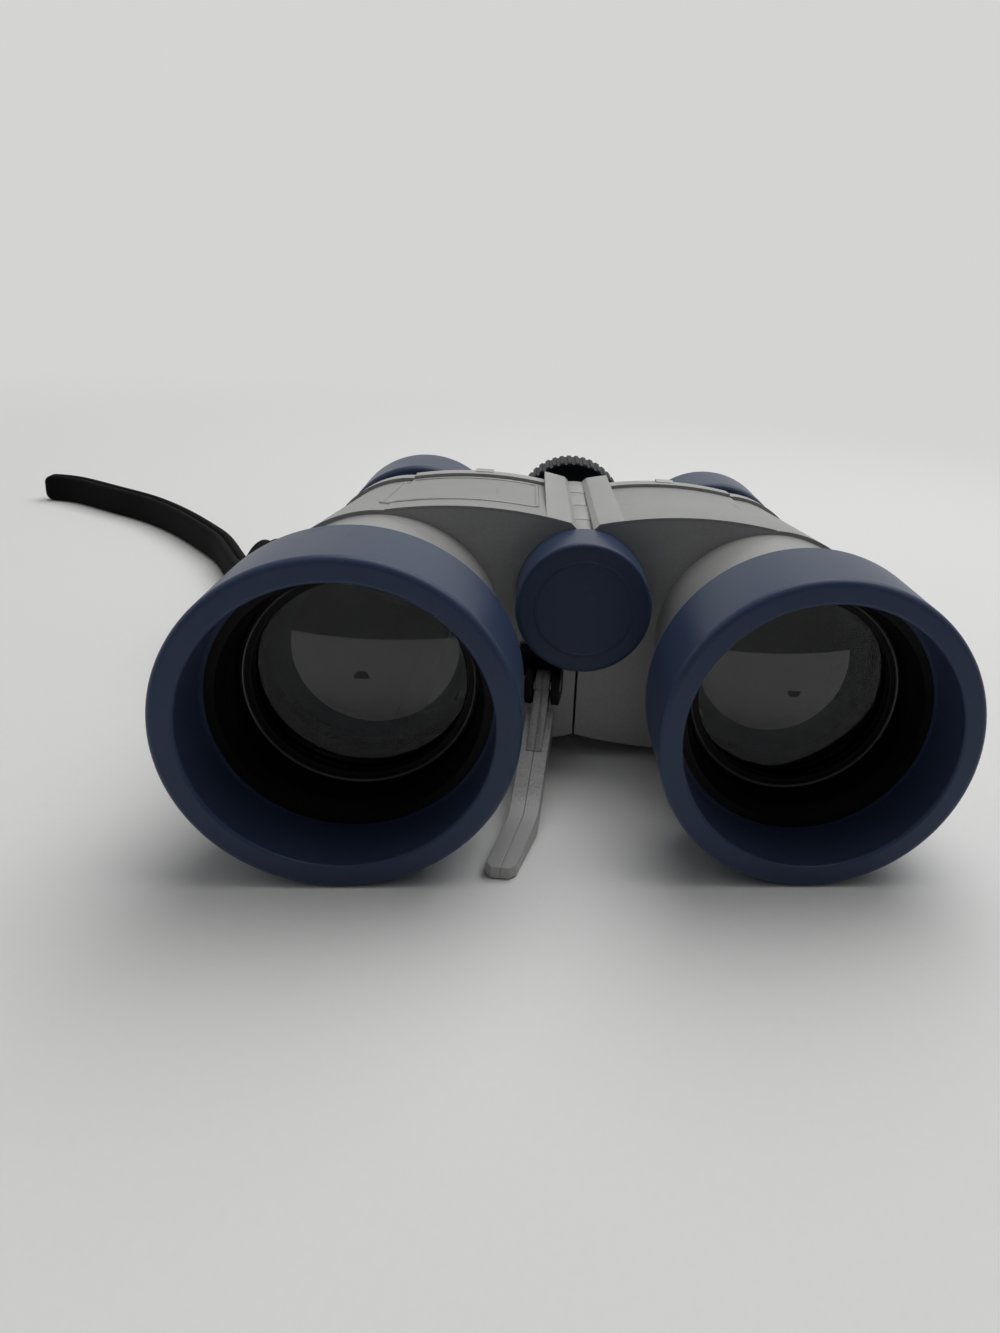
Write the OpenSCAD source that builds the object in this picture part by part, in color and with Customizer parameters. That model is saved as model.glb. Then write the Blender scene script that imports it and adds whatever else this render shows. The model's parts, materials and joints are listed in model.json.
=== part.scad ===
// Toy binoculars: two hinged halves, a central focus wheel, a fold-down stand leg and a wrist strap.
// The objectives face -Y, +X is to the right and +Z is up. The hoods stand on z = 0.

/* [Overall] */
// Distance between the two barrel axes, unfolded
barrel_spacing = 65.2; // [63:0.2:69]
// Height of the hinge axis above the barrel axes
hinge_rise = 7.8; // [7.2:0.2:8.6]
// Running clearance on turning and sliding fits
run_fit = 0.05; // [0.02:0.01:0.08]
// Clearance between pieces that are pushed together
push_fit = 0.03; // [0.02:0.01:0.06]
// Gap between faces of pieces that move past each other
face_gap = 0.35; // [0.3:0.05:0.5]

/* [Housings] */
// Length of each housing
housing_len = 45.2; // [42:0.4:52]
// Step from a barrel out to the front of its housing
housing_step = 0.8; // [0.6:0.1:1.4]
// How much smaller the housing's radius is at the rear
housing_taper = 3.2; // [2.4:0.1:3.4]
// Height of the arched top above the round of the housing
arch_rise = 1.2; // [0.8:0.1:1.6]
// Fall of the arch towards the rear
arch_drop = 2.8; // [2.2:0.1:3]
// Fall of the strips beside the groove
strip_drop = 1; // [0.8:0.1:1.4]
// Radius of the arch
arch_r = 72; // [66:1:80]
// Distance of the arch's crest from the hinge plane
arch_x = 19; // [17:0.5:21]
// Wall thickness of the shells
wall = 2.2; // [1.8:0.1:2.4]
// Half the gap between the lower walls of the halves
seam_half = 0.2; // [0.15:0.05:0.4]
// Chamfer along the groove
groove_chamfer = 0.6; // [0.4:0.1:1.2]
// Width of each inlaid top panel
panel_w = 40; // [36:1:42]
// Distance of a panel from the hinge plane
panel_x = 6.5; // [6:0.5:8]
// Distance of a panel from the rear of the housing
panel_rear = 5; // [4:0.5:8]
// Step down to a panel at its front edge
panel_step = 0.1; // [0.05:0.05:0.3]
// Depth of the recess that holds a panel, at its rear
panel_depth = 1.3; // [1:0.1:1.4]
// Thickness of a panel
panel_t = 0.5; // [0.4:0.1:0.7]
// Width of the flat pad under each housing
pad_w = 12; // [8:1:14]
// Length of the flat pad
pad_len = 24; // [16:1:28]

/* [Hinge] */
// How far the right half folds up, until the groove on top closes
fold_up = 12; // [10:1:16]
// Outer radius of the hinge knuckles
knuckle_r = 9.8; // [9.4:0.1:10]
// Radius of the hollow hinge tube
tube_r = 5; // [4.6:0.1:5.4]
// Length of the hinge tube inside the cap
tube_nose = 6; // [5:0.5:7]
// Radius of the hinge cap
cap_r = 11; // [10.4:0.1:11.4]
// Length of the hinge cap
cap_len = 9.5; // [8.5:0.5:11]
// Rounding of the cap's front edge
cap_round = 0.8; // [0.4:0.1:1.2]
// Radius of the disc set in the cap's face
disc_r = 7.9; // [7:0.1:8.6]
// Thickness of that disc
disc_t = 0.8; // [0.6:0.1:1.2]

/* [Objectives] */
// Outer radius of the hoods
hood_r = 23.5; // [22:0.1:25]
// Wall thickness of the hoods in front of the barrel
hood_wall = 3.5; // [3:0.1:4]
// Length of the hoods
hood_len = 17; // [16:0.5:19]
// Depth of the hoods' bore in front of the lens cells
hood_bore_len = 9.6; // [8:0.2:10.6]
// Rounding of the hoods' outer front edge
lip_round = 1; // [0.6:0.1:1.4]
// Rounding of the hoods' inner front edge
lip_inner = 0.5; // [0.3:0.1:0.8]
// Chamfer at the rear edge of the hoods
hood_chamfer = 1; // [0.5:0.1:1.5]
// Step from the hoods' bore in to the barrels
bore_step = 0.6; // [0.5:0.1:0.8]
// Wall thickness of the barrels
barrel_wall = 1.2; // [1:0.1:1.3]
// Length of barrel that shows between hood and housing
barrel_len = 22.3; // [20:0.1:24]
// Length of the spigot that holds the barrel in the housing
spigot_len = 5; // [4:0.2:5]
// Wall thickness of the lens cells
cell_wall = 1.05; // [0.9:0.05:1.2]
// Thickness of the flange of the lens cells
flange_t = 1.4; // [1.2:0.1:1.8]
// Width of the seat round the objective lenses
lens_seat = 1.95; // [1.6:0.05:2.4]
// Radius of curvature of the lenses' front faces
objective_curve_r = 70; // [60:1:90]
// Thickness of the objective lenses at the rim
lens_rim = 1.6; // [1.2:0.1:2]
// Depth of the lens rim behind the front of the cell
lens_depth = 11.5; // [10.5:0.5:12.5]
// Length of the lens rings
lens_ring_len = 2; // [1.6:0.1:2.6]
// Thickness of the shoulder behind each lens
shoulder_t = 1.6; // [1.2:0.1:2]

/* [Eyepieces] */
// Length from the housings to the ends of the eyecups
eyepiece_len = 25.5; // [25:0.5:28]
// Wall thickness of the eyepiece tubes
eye_tube_wall = 1.5; // [1.2:0.1:1.8]
// Length of the tubes inside the housings
eye_tube_inside = 16; // [14:1:20]
// Step from the rear of the housings in to the guide collars and the bridge rings
collar_step = 1.8; // [1.6:0.1:2.2]
// Step from the guide collars in to where they pass the housing
collar_lip = 0.8; // [0.6:0.1:1]
// Length of the guide collars outside the housings
collar_len = 3; // [2.6:0.1:3.2]
// Length of the guide collars inside the housings
collar_inside = 7; // [6:0.5:9]
// Wall of the collar where it passes the housing
collar_wall = 1.4; // [1.2:0.1:1.6]
// Focus travel to each side of the middle
focus_travel = 3; // [2:0.5:3]
// Thickness of each bridge arm
arm_t = 2.9; // [2.8:0.1:3.2]
// Width of each bridge arm
arm_w = 9; // [7:0.5:11]
// Radius of the bridge hub
hub_r = 7.5; // [6.5:0.5:8]
// Step from the bridge rings out to the eyecups
eyecup_step = 1.8; // [1.2:0.1:2.2]
// Rounding of the eyecups
eyecup_round = 1.4; // [0.8:0.1:1.5]
// Depth of the eyecups behind the tubes
eyecup_depth = 3; // [2.5:0.5:4]
// Inner lip of the eyecups
eyecup_lip = 0.8; // [0.5:0.1:1.2]
// Thickness of the eye lenses at the rim
eye_lens_rim = 1.4; // [1.2:0.1:1.8]
// Width of the seat round the eye lenses
eye_seat = 1.8; // [1.4:0.1:2.4]
// Radius of curvature of the eye lenses
eye_curve_r = 40; // [36:1:60]

/* [Focus] */
// Radius of the focus wheel
wheel_r = 12; // [10.8:0.1:12.4]
// Length of the focus wheel
wheel_len = 10; // [8:0.5:11]
// Number of grip grooves round the wheel
wheel_grooves = 44; // [24:2:48]
// Radius of a grip groove
groove_r = 0.45; // [0.35:0.05:0.6]
// Radius of the focus screw
screw_r = 3; // [2.6:0.1:3.2]
// Length of the screw inside the hinge tube
screw_inside = 24; // [18:1:28]
// Radius of the collar on the screw
screw_collar_r = 5; // [4.4:0.1:5.5]
// Thickness of that collar
screw_collar_t = 1.4; // [1:0.1:1.6]

/* [Stand leg] */
// Distance of the leg from the hinge plane
leg_x = 5.8; // [5.6:0.1:6.6]
// Turn of the leg towards the left barrel
leg_yaw = 7; // [4:1:8]
// Drop of the leg's pivot below the barrel axes
pivot_drop = 7.5; // [7:0.1:8]
// Distance of the pivot in front of the housings
pivot_out = 5.2; // [5:0.1:5.8]
// Distance of the leg's shoulder in front of its pivot
leg_shoulder = 2.6; // [2.4:0.1:3]
// Reach of the leg from the pivot to its kink
leg_reach = 21; // [19:0.5:23]
// Length of the foot past the kink
foot_len = 11.5; // [9:0.5:12]
// Turn of the foot to the left
foot_turn = 8; // [0:1:12]
// Length of the bend at the kink, to each side
kink_round = 3; // [1:0.2:4]
// Cut across the outer corners of the foot's tip
tip_ease = 0.9; // [0.4:0.1:1.4]
// Thickness of the leg
leg_t = 3.4; // [3:0.1:3.6]
// Thickness of the foot at its tip
tip_t = 1.8; // [1.4:0.1:2.4]
// Width of the leg, in two halves
leg_w = 4.4; // [4:0.1:4.8]
// Width of the neck between the cheeks
neck_w = 2.4; // [2:0.1:2.8]
// Thickness of each cheek of the bracket
cheek_t = 1.3; // [1:0.1:1.8]
// Radius of the bracket's cheeks and of the leg's eye
cheek_r = 3.2; // [3:0.1:3.4]
// Radius of the leg's pin
pin_r = 1.1; // [0.9:0.05:1.2]
// Gap under the foot
foot_gap = 0.2; // [0.1:0.05:0.4]

/* [Strap and screws] */
// Distance of the strap lugs behind the front of the housings
lug_y = 30; // [28:1:32]
// Width of a strap lug
lug_w = 6; // [5.5:0.5:7]
// Thickness of a strap lug
lug_t = 4; // [3.5:0.1:4.5]
// Radius of the eye in a strap lug
lug_eye_r = 1.7; // [1.5:0.1:1.9]
// Thickness of the clamp's jaws
jaw_t = 2.4; // [2.3:0.1:2.8]
// Length of the clamp past the lug
clamp_len = 6; // [5:0.5:8]
// Turn of the clamp on its lug, towards the rear
clamp_turn = 60; // [50:1:65]
// Width of the strap's webbing, which stands on its edge
strap_w = 8.2; // [7.4:0.2:8.6]
// Thickness of the webbing, which is folded double
strap_t = 2.2; // [1.8:0.1:2.4]
// Radius of a housing screw's shank
shank_r = 1.5; // [1.3:0.1:1.6]
// Radius of a housing screw's head
head_r = 2.7; // [2.5:0.1:2.8]
// Thickness of a screw's head
head_t = 2; // [1.6:0.1:2.4]
// Length of a screw in the upper boss
screw_bite = 7; // [6:0.5:9]
// Distance of the screws from the hinge plane
screw_x = 13.4; // [13:0.1:13.8]
// Distance of the screws from the ends of the housing
screw_end = 9; // [8:0.5:10]

/* [Hidden] */
$fn = 96;

// Colours
navy = [0.22, 0.27, 0.37];
deep_navy = [0.07, 0.08, 0.13];
silver = [0.66, 0.66, 0.66];
black = [0.06, 0.06, 0.06];
glass = [0.55, 0.6, 0.62, 0.6];
steel = [0.5, 0.5, 0.52];

// Sides
LEFT = -1;
RIGHT = 1;

// Stations along the barrels, from the front of the hoods to the ends of the eyecups
total_len = hood_len + barrel_len + housing_len + eyepiece_len;
hood_y = -total_len / 2;
cell_y = hood_y + hood_bore_len;
barrel_y = cell_y + flange_t;
wall_y = hood_y + hood_len + barrel_len;
rear_y = wall_y + housing_len;
end_y = rear_y + eyepiece_len;

// Axes
barrel_x = barrel_spacing / 2;
axis_z = hood_r;
hinge_z = axis_z + hinge_rise;

// Radii of the hoods, barrels and housings
hood_bore_r = hood_r - hood_wall;
barrel_r = hood_bore_r - bore_step;
housing_r = barrel_r + housing_step;
tail_r = housing_r - housing_taper;
arch_h = housing_r + arch_rise;
big = 4 * housing_len;
lap = 1;

// Hinge
knuckles = 4;
knuckle_step = housing_len / knuckles;
knuckle_clear_r = knuckle_r + face_gap;
groove_half = (arch_h - hinge_rise) * tan(fold_up / 2);
tube_bore_r = screw_r + run_fit;
tube_flange_r = tube_r + 2;
tube_flange_t = 1;
cap_back_y = wall_y - face_gap;
cap_y = cap_back_y - cap_len;

// Objectives
barrel_bore_r = barrel_r - barrel_wall;
spigot_r = housing_r - wall - 2 * push_fit;
spigot_step = 3;
cell_r = barrel_bore_r - push_fit;
cell_bore_r = cell_r - cell_wall;
cell_mouth_r = cell_bore_r + cell_wall * 0.9;
lens_back_y = cell_y + lens_depth;
cell_end_y = lens_back_y + shoulder_t;
objective_r = cell_bore_r - push_fit;
objective_clear_r = objective_r - lens_seat;
objective_front_y = lens_back_y - lens_rim - sagitta(objective_r, objective_curve_r);

// Eyepieces
collar_r = tail_r - collar_step;
collar_spigot_r = collar_r - collar_lip;
collar_bore_r = collar_spigot_r - collar_wall;
eye_tube_r = collar_bore_r - run_fit;
eyecup_r = collar_r + eyecup_step;
collar_end_y = rear_y + collar_len;
arm_y = collar_end_y + focus_travel + face_gap;
arm_back_y = arm_y + arm_t;
lap_t = (arm_t - face_gap) / 2;
eye_tube_y = rear_y - eye_tube_inside;
eye_tube_end_y = end_y - eyecup_depth;
eye_tube_bore_r = eye_tube_r - eye_tube_wall;
eye_lens_r = eye_tube_bore_r - push_fit;
eye_clear_r = eye_lens_r - eye_seat;
eye_ring_t = 1.4;
eye_lens_bulge = sagitta(eye_lens_r, eye_curve_r);
eye_lens_y = eye_tube_end_y - eye_ring_t - eye_lens_bulge - eye_lens_rim;
eye_shoulder_t = 1.4;

// Focus wheel
wheel_y = arm_back_y + face_gap;
wheel_end_y = wheel_y + wheel_len;
screw_collar_y = arm_y - face_gap - screw_collar_t;
screw_start_y = rear_y - screw_inside;
wheel_round = 0.8;
wheel_cup_r = wheel_r - 3;
wheel_cup_t = 1.2;

// Stand leg
pivot_z = axis_z - pivot_drop;
panel_floor = [panel_step + panel_t, panel_depth];
leg_drop = pivot_z - foot_gap;
pivot_y = wall_y - pivot_out;
cheek_gap = neck_w / 2 + face_gap;
cheek_back = pivot_out / cos(leg_yaw);
leg_clear_r = norm([cheek_back, cheek_r]) + face_gap;
bracket_t = 1.4;
bracket_up = 5.4;

// Housing screws
head_z = axis_z - arch_h + arch_drop + wall;

// Strap
lug_at_y = wall_y + lug_y;
lug_x = barrel_x + round_r(lug_at_y);
lug_reach = 2.6;
lug_eye_x = lug_x + lug_reach;
clamp_x = lug_x + 0.8;
clamp_reach = lug_w / 2 + clamp_len;
strap_double = 2 * strap_t + 0.2;
clamp_side = 1.2;
clamp_w = strap_double + 2 * clamp_side;
lug_z = axis_z - lug_t;
strap_z = lug_z + lug_t / 2;
strap_floor = strap_w / 2 + 0.1;
strap_steps = 2;
strap_lead = 4;

// Route of the strap: out of the clamp, down to the floor and away to its folded end.
// Each point is [x, y, z], measured from the middle of the clamp's outer face at the floor.
strap_points = [
    [0, 0, strap_z], [-strap_lead * cos(clamp_turn), strap_lead * sin(clamp_turn), strap_z],
    [-4.4, 8, 20.8], [-6.8, 13, 18.8], [-9.4, 18.6, 16], [-12, 24.6, 12.8], [-14.8, 30.8, 9.6], [-17.6, 37, 7],
    [-20.6, 43.4, 5.2], [-23.8, 50, strap_floor], [-27.2, 57, strap_floor], [-31, 65, strap_floor],
    [-35.2, 72.6, strap_floor], [-40.7, 80.4, strap_floor], [-46.4, 88, strap_floor], [-52, 95, strap_floor],
    [-57.5, 101.2, strap_floor], [-63, 106.8, strap_floor], [-68, 111.2, strap_floor], [-72.8, 114.8, strap_floor],
    [-77.4, 118, strap_floor], [-82, 121.2, strap_floor], [-87, 124.8, strap_floor], [-92, 128.2, strap_floor],
    [-97, 131, strap_floor], [-102, 132.2, strap_floor], [-106.4, 132.2, strap_floor]
];
strap_face = [-lug_eye_x - clamp_reach * cos(clamp_turn), lug_at_y + clamp_reach * sin(clamp_turn), 0];
strap_route = [for (p = strap_points) p + strap_face];

// Depth of a spherical cap of curvature r out to radius c
function sagitta(c, r) = r - sqrt(r * r - c * c);

// Radius of the housing round the barrel axis at y
function round_r(y) = housing_r - housing_taper * (y - wall_y) / housing_len;

// Height of the housing's arched top at the front, at a distance x from the hinge plane
function arch_z(x) = axis_z + arch_h - arch_r + sqrt(arch_r * arch_r - (x - arch_x) * (x - arch_x));

// Point at share t between the middle two of four points on a smooth curve
function smooth(a, b, c, d, t) =
    0.5 * (2 * b + (c - a) * t + (2 * a - 5 * b + 4 * c - d) * t * t + (3 * b - a - 3 * c + d) * t * t * t);

// A list of points refined to a smooth curve, with n steps between two points
function refined(p, n) = concat(
    [for (i = [0:len(p) - 2], k = [0:n - 1])
        smooth(p[max(i - 1, 0)], p[i], p[i + 1], p[min(i + 2, len(p) - 1)], k / n)],
    [p[len(p) - 1]]
);

function unit(v) = v / norm(v);

// Points of a bend at b on the way from a to c, that starts and ends at a distance from b
function bend(a, b, c, distance) =
    let (p = b + distance * unit(a - b), q = b + distance * unit(c - b), n = 6)
    [for (k = [0:n]) let (t = k / n) (1 - t) * (1 - t) * p + 2 * t * (1 - t) * b + t * t * q];

// Direction of a path at its point i
function heading(p, i) = unit(p[min(i + 1, len(p) - 1)] - p[max(i - 1, 0)]);

// Section of the strap: two layers side by side on their edges, with eased corners, as [across, up]
strap_ease = strap_t / 2;
strap_section = [for (k = [[2, 1], [1, 2], [-1, 2], [-2, 1], [-2, -1], [-1, -2], [1, -2], [2, -1]])
    [-sign(k.x) * (strap_double / 2 - (2 - abs(k.x)) * strap_ease),
     sign(k.y) * (strap_w / 2 - (2 - abs(k.y)) * strap_ease)]];

// One ring of the strap at point i of its path
function strap_ring(p, i) =
    let (t = heading(p, i), side = unit(cross(t, [0, 0, 1])), up = cross(side, t))
    [for (c = strap_section) p[i] + c.x * side + c.y * up];

// A band of webbing along a path
module strap_band(p) {
    n = len(p);
    m = len(strap_section);
    polyhedron(
        points = [for (i = [0:n - 1]) each strap_ring(p, i)],
        faces = concat(
            [[for (k = [0:m - 1]) k]],
            [for (i = [0:n - 2], k = [0:m - 1])
                [i * m + k, (i + 1) * m + k, (i + 1) * m + (k + 1) % m, i * m + (k + 1) % m]],
            [[for (k = [m - 1:-1:0]) (n - 1) * m + k]]
        )
    );
}

// Children as drawn for the right half, mirrored for the left
module on_side(s) {
    if (s == RIGHT) children();
    else mirror([1, 0, 0]) children();
}

// A flat XZ shape drawn out from y0 to y1
module along(y0, y1) translate([0, y1, 0]) rotate([90, 0, 0]) linear_extrude(y1 - y0) children();

// A turned shape about an axis along Y, its profile given as radius and y
module turned(x, z) translate([x, 0, z]) rotate([-90, 0, 0]) rotate_extrude() children();

module on_barrel() turned(barrel_x, axis_z) children();

module on_hinge() turned(0, hinge_z) children();

// Rectangle of a profile, from radius r0 to r1 and from y0 to y1
module band(r0, r1, y0, y1) translate([r0, y0]) square([r1 - r0, y1 - y0]);

// A band whose corners at its far radius are cut away on the end at y0 or y1
module rounded_band(r0, r1, y0, y1, round) {
    intersection() {
        band(r0, r1, y0, y1);
        union() {
            band(0, r1 - round, y0, y1);
            band(0, r1, y0 + round, y1);
            translate([r1 - round, y0 + round]) circle(round);
        }
    }
}

// Waste at a front corner of a profile at radius r and y, to one side, that leaves it rounded
module eased_corner(r, y, round, side) {
    difference() {
        translate([min(r - side * round, r + side * lap), y - lap]) square([round + lap, round + lap]);
        translate([r - side * round, y + round]) circle(round);
    }
}

// Cylinder of the arch drawn in by inset, on top or below, that draws in by drop towards the rear
module arch_round(top, drop, inset) {
    translate([arch_x, wall_y, axis_z + top * (arch_h - arch_r)])
        rotate([-90 - top * atan(drop / housing_len), 0, 0])
            translate([0, 0, -big / 2]) cylinder(h = big, r = arch_r - inset, $fn = 360);
}

// Box from the groove out to x1 and from z0 to z1, between the ends of the housing
module groove_box(x1, z0, z1, inset) {
    translate([groove_half + inset, wall_y + inset, z0])
        cube([x1 - groove_half - inset, housing_len - 2 * inset, z1 - z0]);
}

// One housing, drawn in by inset: round about the barrel, arched towards the hinge, and tapered
module housing_body(inset = 0) {
    y0 = wall_y + inset;
    y1 = rear_y - inset;
    difference() {
        union() {
            translate([barrel_x, y0, axis_z]) rotate([-90, 0, 0])
                cylinder(h = y1 - y0, r1 = round_r(y0) - inset, r2 = round_r(y1) - inset);
            intersection() {
                arch_round(1, arch_drop, inset);
                arch_round(-1, arch_drop, inset);
                union() {
                    groove_box(barrel_x, 0, big / 2, inset);
                    translate([seam_half + inset, y0, 0])
                        cube([barrel_x - seam_half - inset, y1 - y0, hinge_z]);
                }
            }
            intersection() {
                arch_round(1, strip_drop, inset);
                groove_box(panel_x - inset, hinge_z, big / 2, inset);
            }
        }
        translate([groove_half, wall_y - lap, arch_z(groove_half)]) rotate([-atan(strip_drop / housing_len), 0, 0])
            rotate([90, 0, 0]) mirror([0, 0, 1]) linear_extrude(big)
                polygon([[-lap, -groove_chamfer - lap], [groove_chamfer + lap, lap], [-lap, lap]]);
    }
}

// Housing of the right half before it is split into shells
module housing_block() {
    difference() {
        housing_body();
        difference() {
            housing_body(wall);
            on_hinge() band(0, knuckle_clear_r + wall, wall_y, rear_y);
        }
        on_barrel() band(0, spigot_r + push_fit, wall_y - lap, wall_y + spigot_len + push_fit);
        on_barrel() band(0, collar_spigot_r + push_fit, rear_y - 2 * wall, rear_y + lap);
    }
}

// Front and rear of knuckle i
function knuckle_front(i) = i == 0 ? cap_back_y : wall_y + i * knuckle_step + face_gap / 2;
function knuckle_rear(i) = i == knuckles - 1 ? rear_y : wall_y + (i + 1) * knuckle_step - face_gap / 2;

// The left half has the even knuckles and the right half the odd ones
function knuckle_first(s) = s == LEFT ? 0 : 1;

module knuckle_barrels(s) {
    for (i = [knuckle_first(s):2:knuckles - 1])
        on_hinge() band(0, knuckle_r, knuckle_front(i), knuckle_rear(i));
}

// Room for the other half's knuckles
module knuckle_room(s) {
    for (i = [knuckle_first(-s):2:knuckles - 1])
        on_hinge() band(0, knuckle_clear_r, knuckle_front(i) - face_gap, knuckle_rear(i) + face_gap);
}

module at_screws() {
    for (y = [wall_y + screw_end, rear_y - screw_end]) translate([screw_x, y, 0]) children();
}

// Eye and tongue that the strap is tied to
module strap_lug() {
    difference() {
        translate([0, lug_at_y, lug_z]) union() {
            translate([lug_x - wall, -lug_w / 2, 0]) cube([lug_reach + wall, lug_w, lug_t]);
            translate([lug_eye_x, 0, 0]) cylinder(h = lug_t, d = lug_w);
        }
        translate([lug_eye_x, lug_at_y, lug_z - lap]) cylinder(h = lug_t + 2 * lap, r = lug_eye_r);
    }
}

// Arch and round of the housing's top, open at both ends, drawn in by steps at the front and at the rear
module upper_form(front, rear) {
    y0 = wall_y - lap;
    y1 = rear_y + lap;
    translate([barrel_x, y0, axis_z]) rotate([-90, 0, 0])
        cylinder(h = y1 - y0, r1 = round_r(y0) - front, r2 = round_r(y1) - rear);
    intersection() {
        arch_round(1, arch_drop + rear - front, front);
        translate([0, y0, 0]) cube([barrel_x, y1 - y0, big / 2]);
    }
}

// Layer of the housing's top where the panel lies, between two depths, each given at the front and at the rear
module panel_band(deep, high, play, y0) {
    intersection() {
        difference() {
            upper_form(high[0], high[1]);
            upper_form(deep[0], deep[1]);
        }
        translate([panel_x + play, y0, axis_z])
            cube([panel_w - 2 * play, rear_y - panel_rear - play - y0, big / 2]);
    }
}

module top_shell(s) color(silver) on_side(s) {
    boss_r = shank_r + 1.7;
    difference() {
        union() {
            intersection() {
                housing_block();
                translate([-big / 2, -big / 2, axis_z]) cube(big);
            }
            at_screws() translate([0, 0, axis_z]) cylinder(h = screw_bite + 2 * wall, r = boss_r);
            knuckle_barrels(s);
        }
        knuckle_room(s);
        on_hinge() band(0, tube_r + run_fit, cap_y, end_y);
        panel_band(panel_floor, [-lap, -lap], 0, wall_y - lap);
        at_screws() translate([0, 0, axis_z - lap]) cylinder(h = screw_bite + 2 * lap, r = shank_r + push_fit);
    }
}

module bottom_shell(s) color(silver) on_side(s) {
    boss_r = head_r + 1;
    difference() {
        union() {
            intersection() {
                housing_block();
                translate([-big / 2, -big / 2, axis_z - big]) cube(big);
            }
            intersection() {
                housing_body();
                at_screws() cylinder(h = axis_z, r = boss_r);
            }
            translate([arch_x - pad_w / 2, (wall_y + rear_y - pad_len) / 2, 0]) cube([pad_w, pad_len, head_z]);
            strap_lug();
        }
        on_hinge() band(0, knuckle_clear_r, wall_y - lap, rear_y + lap);
        at_screws() {
            translate([0, 0, -lap]) cylinder(h = axis_z + 2 * lap, r = shank_r + push_fit);
            translate([0, 0, -lap]) cylinder(h = head_z + head_t + lap, r = head_r + push_fit);
        }
    }
}

module top_panel(s) color(silver) on_side(s) {
    difference() {
        panel_band(panel_floor, panel_floor - [panel_t, panel_t], push_fit, wall_y);
        knuckle_room(s);
    }
}

module screws(s) color(steel) on_side(s) {
    seat = head_z + head_t;
    at_screws() {
        translate([0, 0, head_z]) cylinder(h = head_t, r = head_r);
        translate([0, 0, seat - lap]) cylinder(h = axis_z + screw_bite - seat + lap, r = shank_r);
    }
}

module barrel(s) color(silver) on_side(s) on_barrel() {
    band(barrel_bore_r, barrel_r, barrel_y, wall_y - spigot_step);
    band(spigot_r - barrel_wall, barrel_r, wall_y - spigot_step, wall_y);
    band(spigot_r - barrel_wall, spigot_r, wall_y - lap, wall_y + spigot_len);
}

module hood(s) color(navy) on_side(s) on_barrel() {
    grip_r = barrel_r + push_fit;
    difference() {
        union() {
            band(hood_bore_r, hood_r, hood_y, cell_y);
            band(grip_r, hood_r, cell_y, hood_y + hood_len);
        }
        eased_corner(hood_r, hood_y, lip_round, 1);
        eased_corner(hood_bore_r, hood_y, lip_inner, -1);
        translate([hood_r, hood_y + hood_len])
            polygon([[-hood_chamfer, 0], [-hood_chamfer, lap], [lap, lap], [lap, -hood_chamfer], [0, -hood_chamfer]]);
    }
}

module lens_cell(s) color(black) on_side(s) on_barrel() {
    polygon([
        [cell_mouth_r, cell_y], [barrel_r, cell_y], [barrel_r, barrel_y], [cell_r, barrel_y],
        [cell_r, cell_end_y], [objective_clear_r, cell_end_y], [objective_clear_r, lens_back_y],
        [cell_bore_r, lens_back_y], [cell_bore_r, barrel_y + lap]
    ]);
}

module objective_lens(s) color(glass) on_side(s) on_barrel() {
    intersection() {
        band(0, objective_r, objective_front_y - lap, lens_back_y);
        translate([0, objective_front_y + objective_curve_r]) circle(objective_curve_r, $fn = 360);
    }
}

module lens_ring(s) color(black) on_side(s) on_barrel() {
    back_y = objective_front_y + sagitta(objective_clear_r, objective_curve_r) - push_fit;
    band(objective_clear_r, objective_r, back_y - lens_ring_len, back_y);
}

module eyepiece_guide(s) color(silver) on_side(s) on_barrel() {
    band(collar_bore_r, collar_spigot_r, rear_y - collar_inside, collar_end_y);
    band(collar_bore_r, collar_r, rear_y, collar_end_y);
}

module eyepiece_tube(s) color(silver) on_side(s) on_barrel() {
    band(eye_tube_bore_r, eye_tube_r, eye_tube_y, eye_tube_end_y);
    band(eye_clear_r, eye_tube_r, eye_lens_y - eye_shoulder_t, eye_lens_y);
}

module eyecup(s) color(navy) on_side(s) on_barrel() {
    grip_r = eye_tube_r + push_fit;
    mouth_r = eye_tube_r - eyecup_lip;
    difference() {
        union() {
            band(0, eyecup_r - eyecup_round, arm_back_y, end_y);
            band(0, eyecup_r, arm_back_y + eyecup_round, end_y - eyecup_round);
            for (y = [arm_back_y + eyecup_round, end_y - eyecup_round])
                translate([eyecup_r - eyecup_round, y]) circle(eyecup_round);
        }
        band(0, grip_r, arm_back_y - lap, eye_tube_end_y);
        band(0, mouth_r, arm_back_y, end_y + lap);
        translate([-lap, arm_back_y - lap]) square([lap, big]);
    }
}

module eye_lens(s) color(glass) on_side(s) on_barrel() {
    intersection() {
        band(0, eye_lens_r, eye_lens_y, end_y);
        translate([0, eye_lens_y + eye_lens_rim + eye_lens_bulge - eye_curve_r]) circle(eye_curve_r, $fn = 360);
    }
}

module eye_ring(s) color(black) on_side(s) on_barrel() {
    front_y = eye_lens_y + eye_lens_rim + eye_lens_bulge - sagitta(eye_clear_r, eye_curve_r) + push_fit;
    band(eye_clear_r, eye_lens_r, front_y, front_y + eye_ring_t);
}

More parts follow.
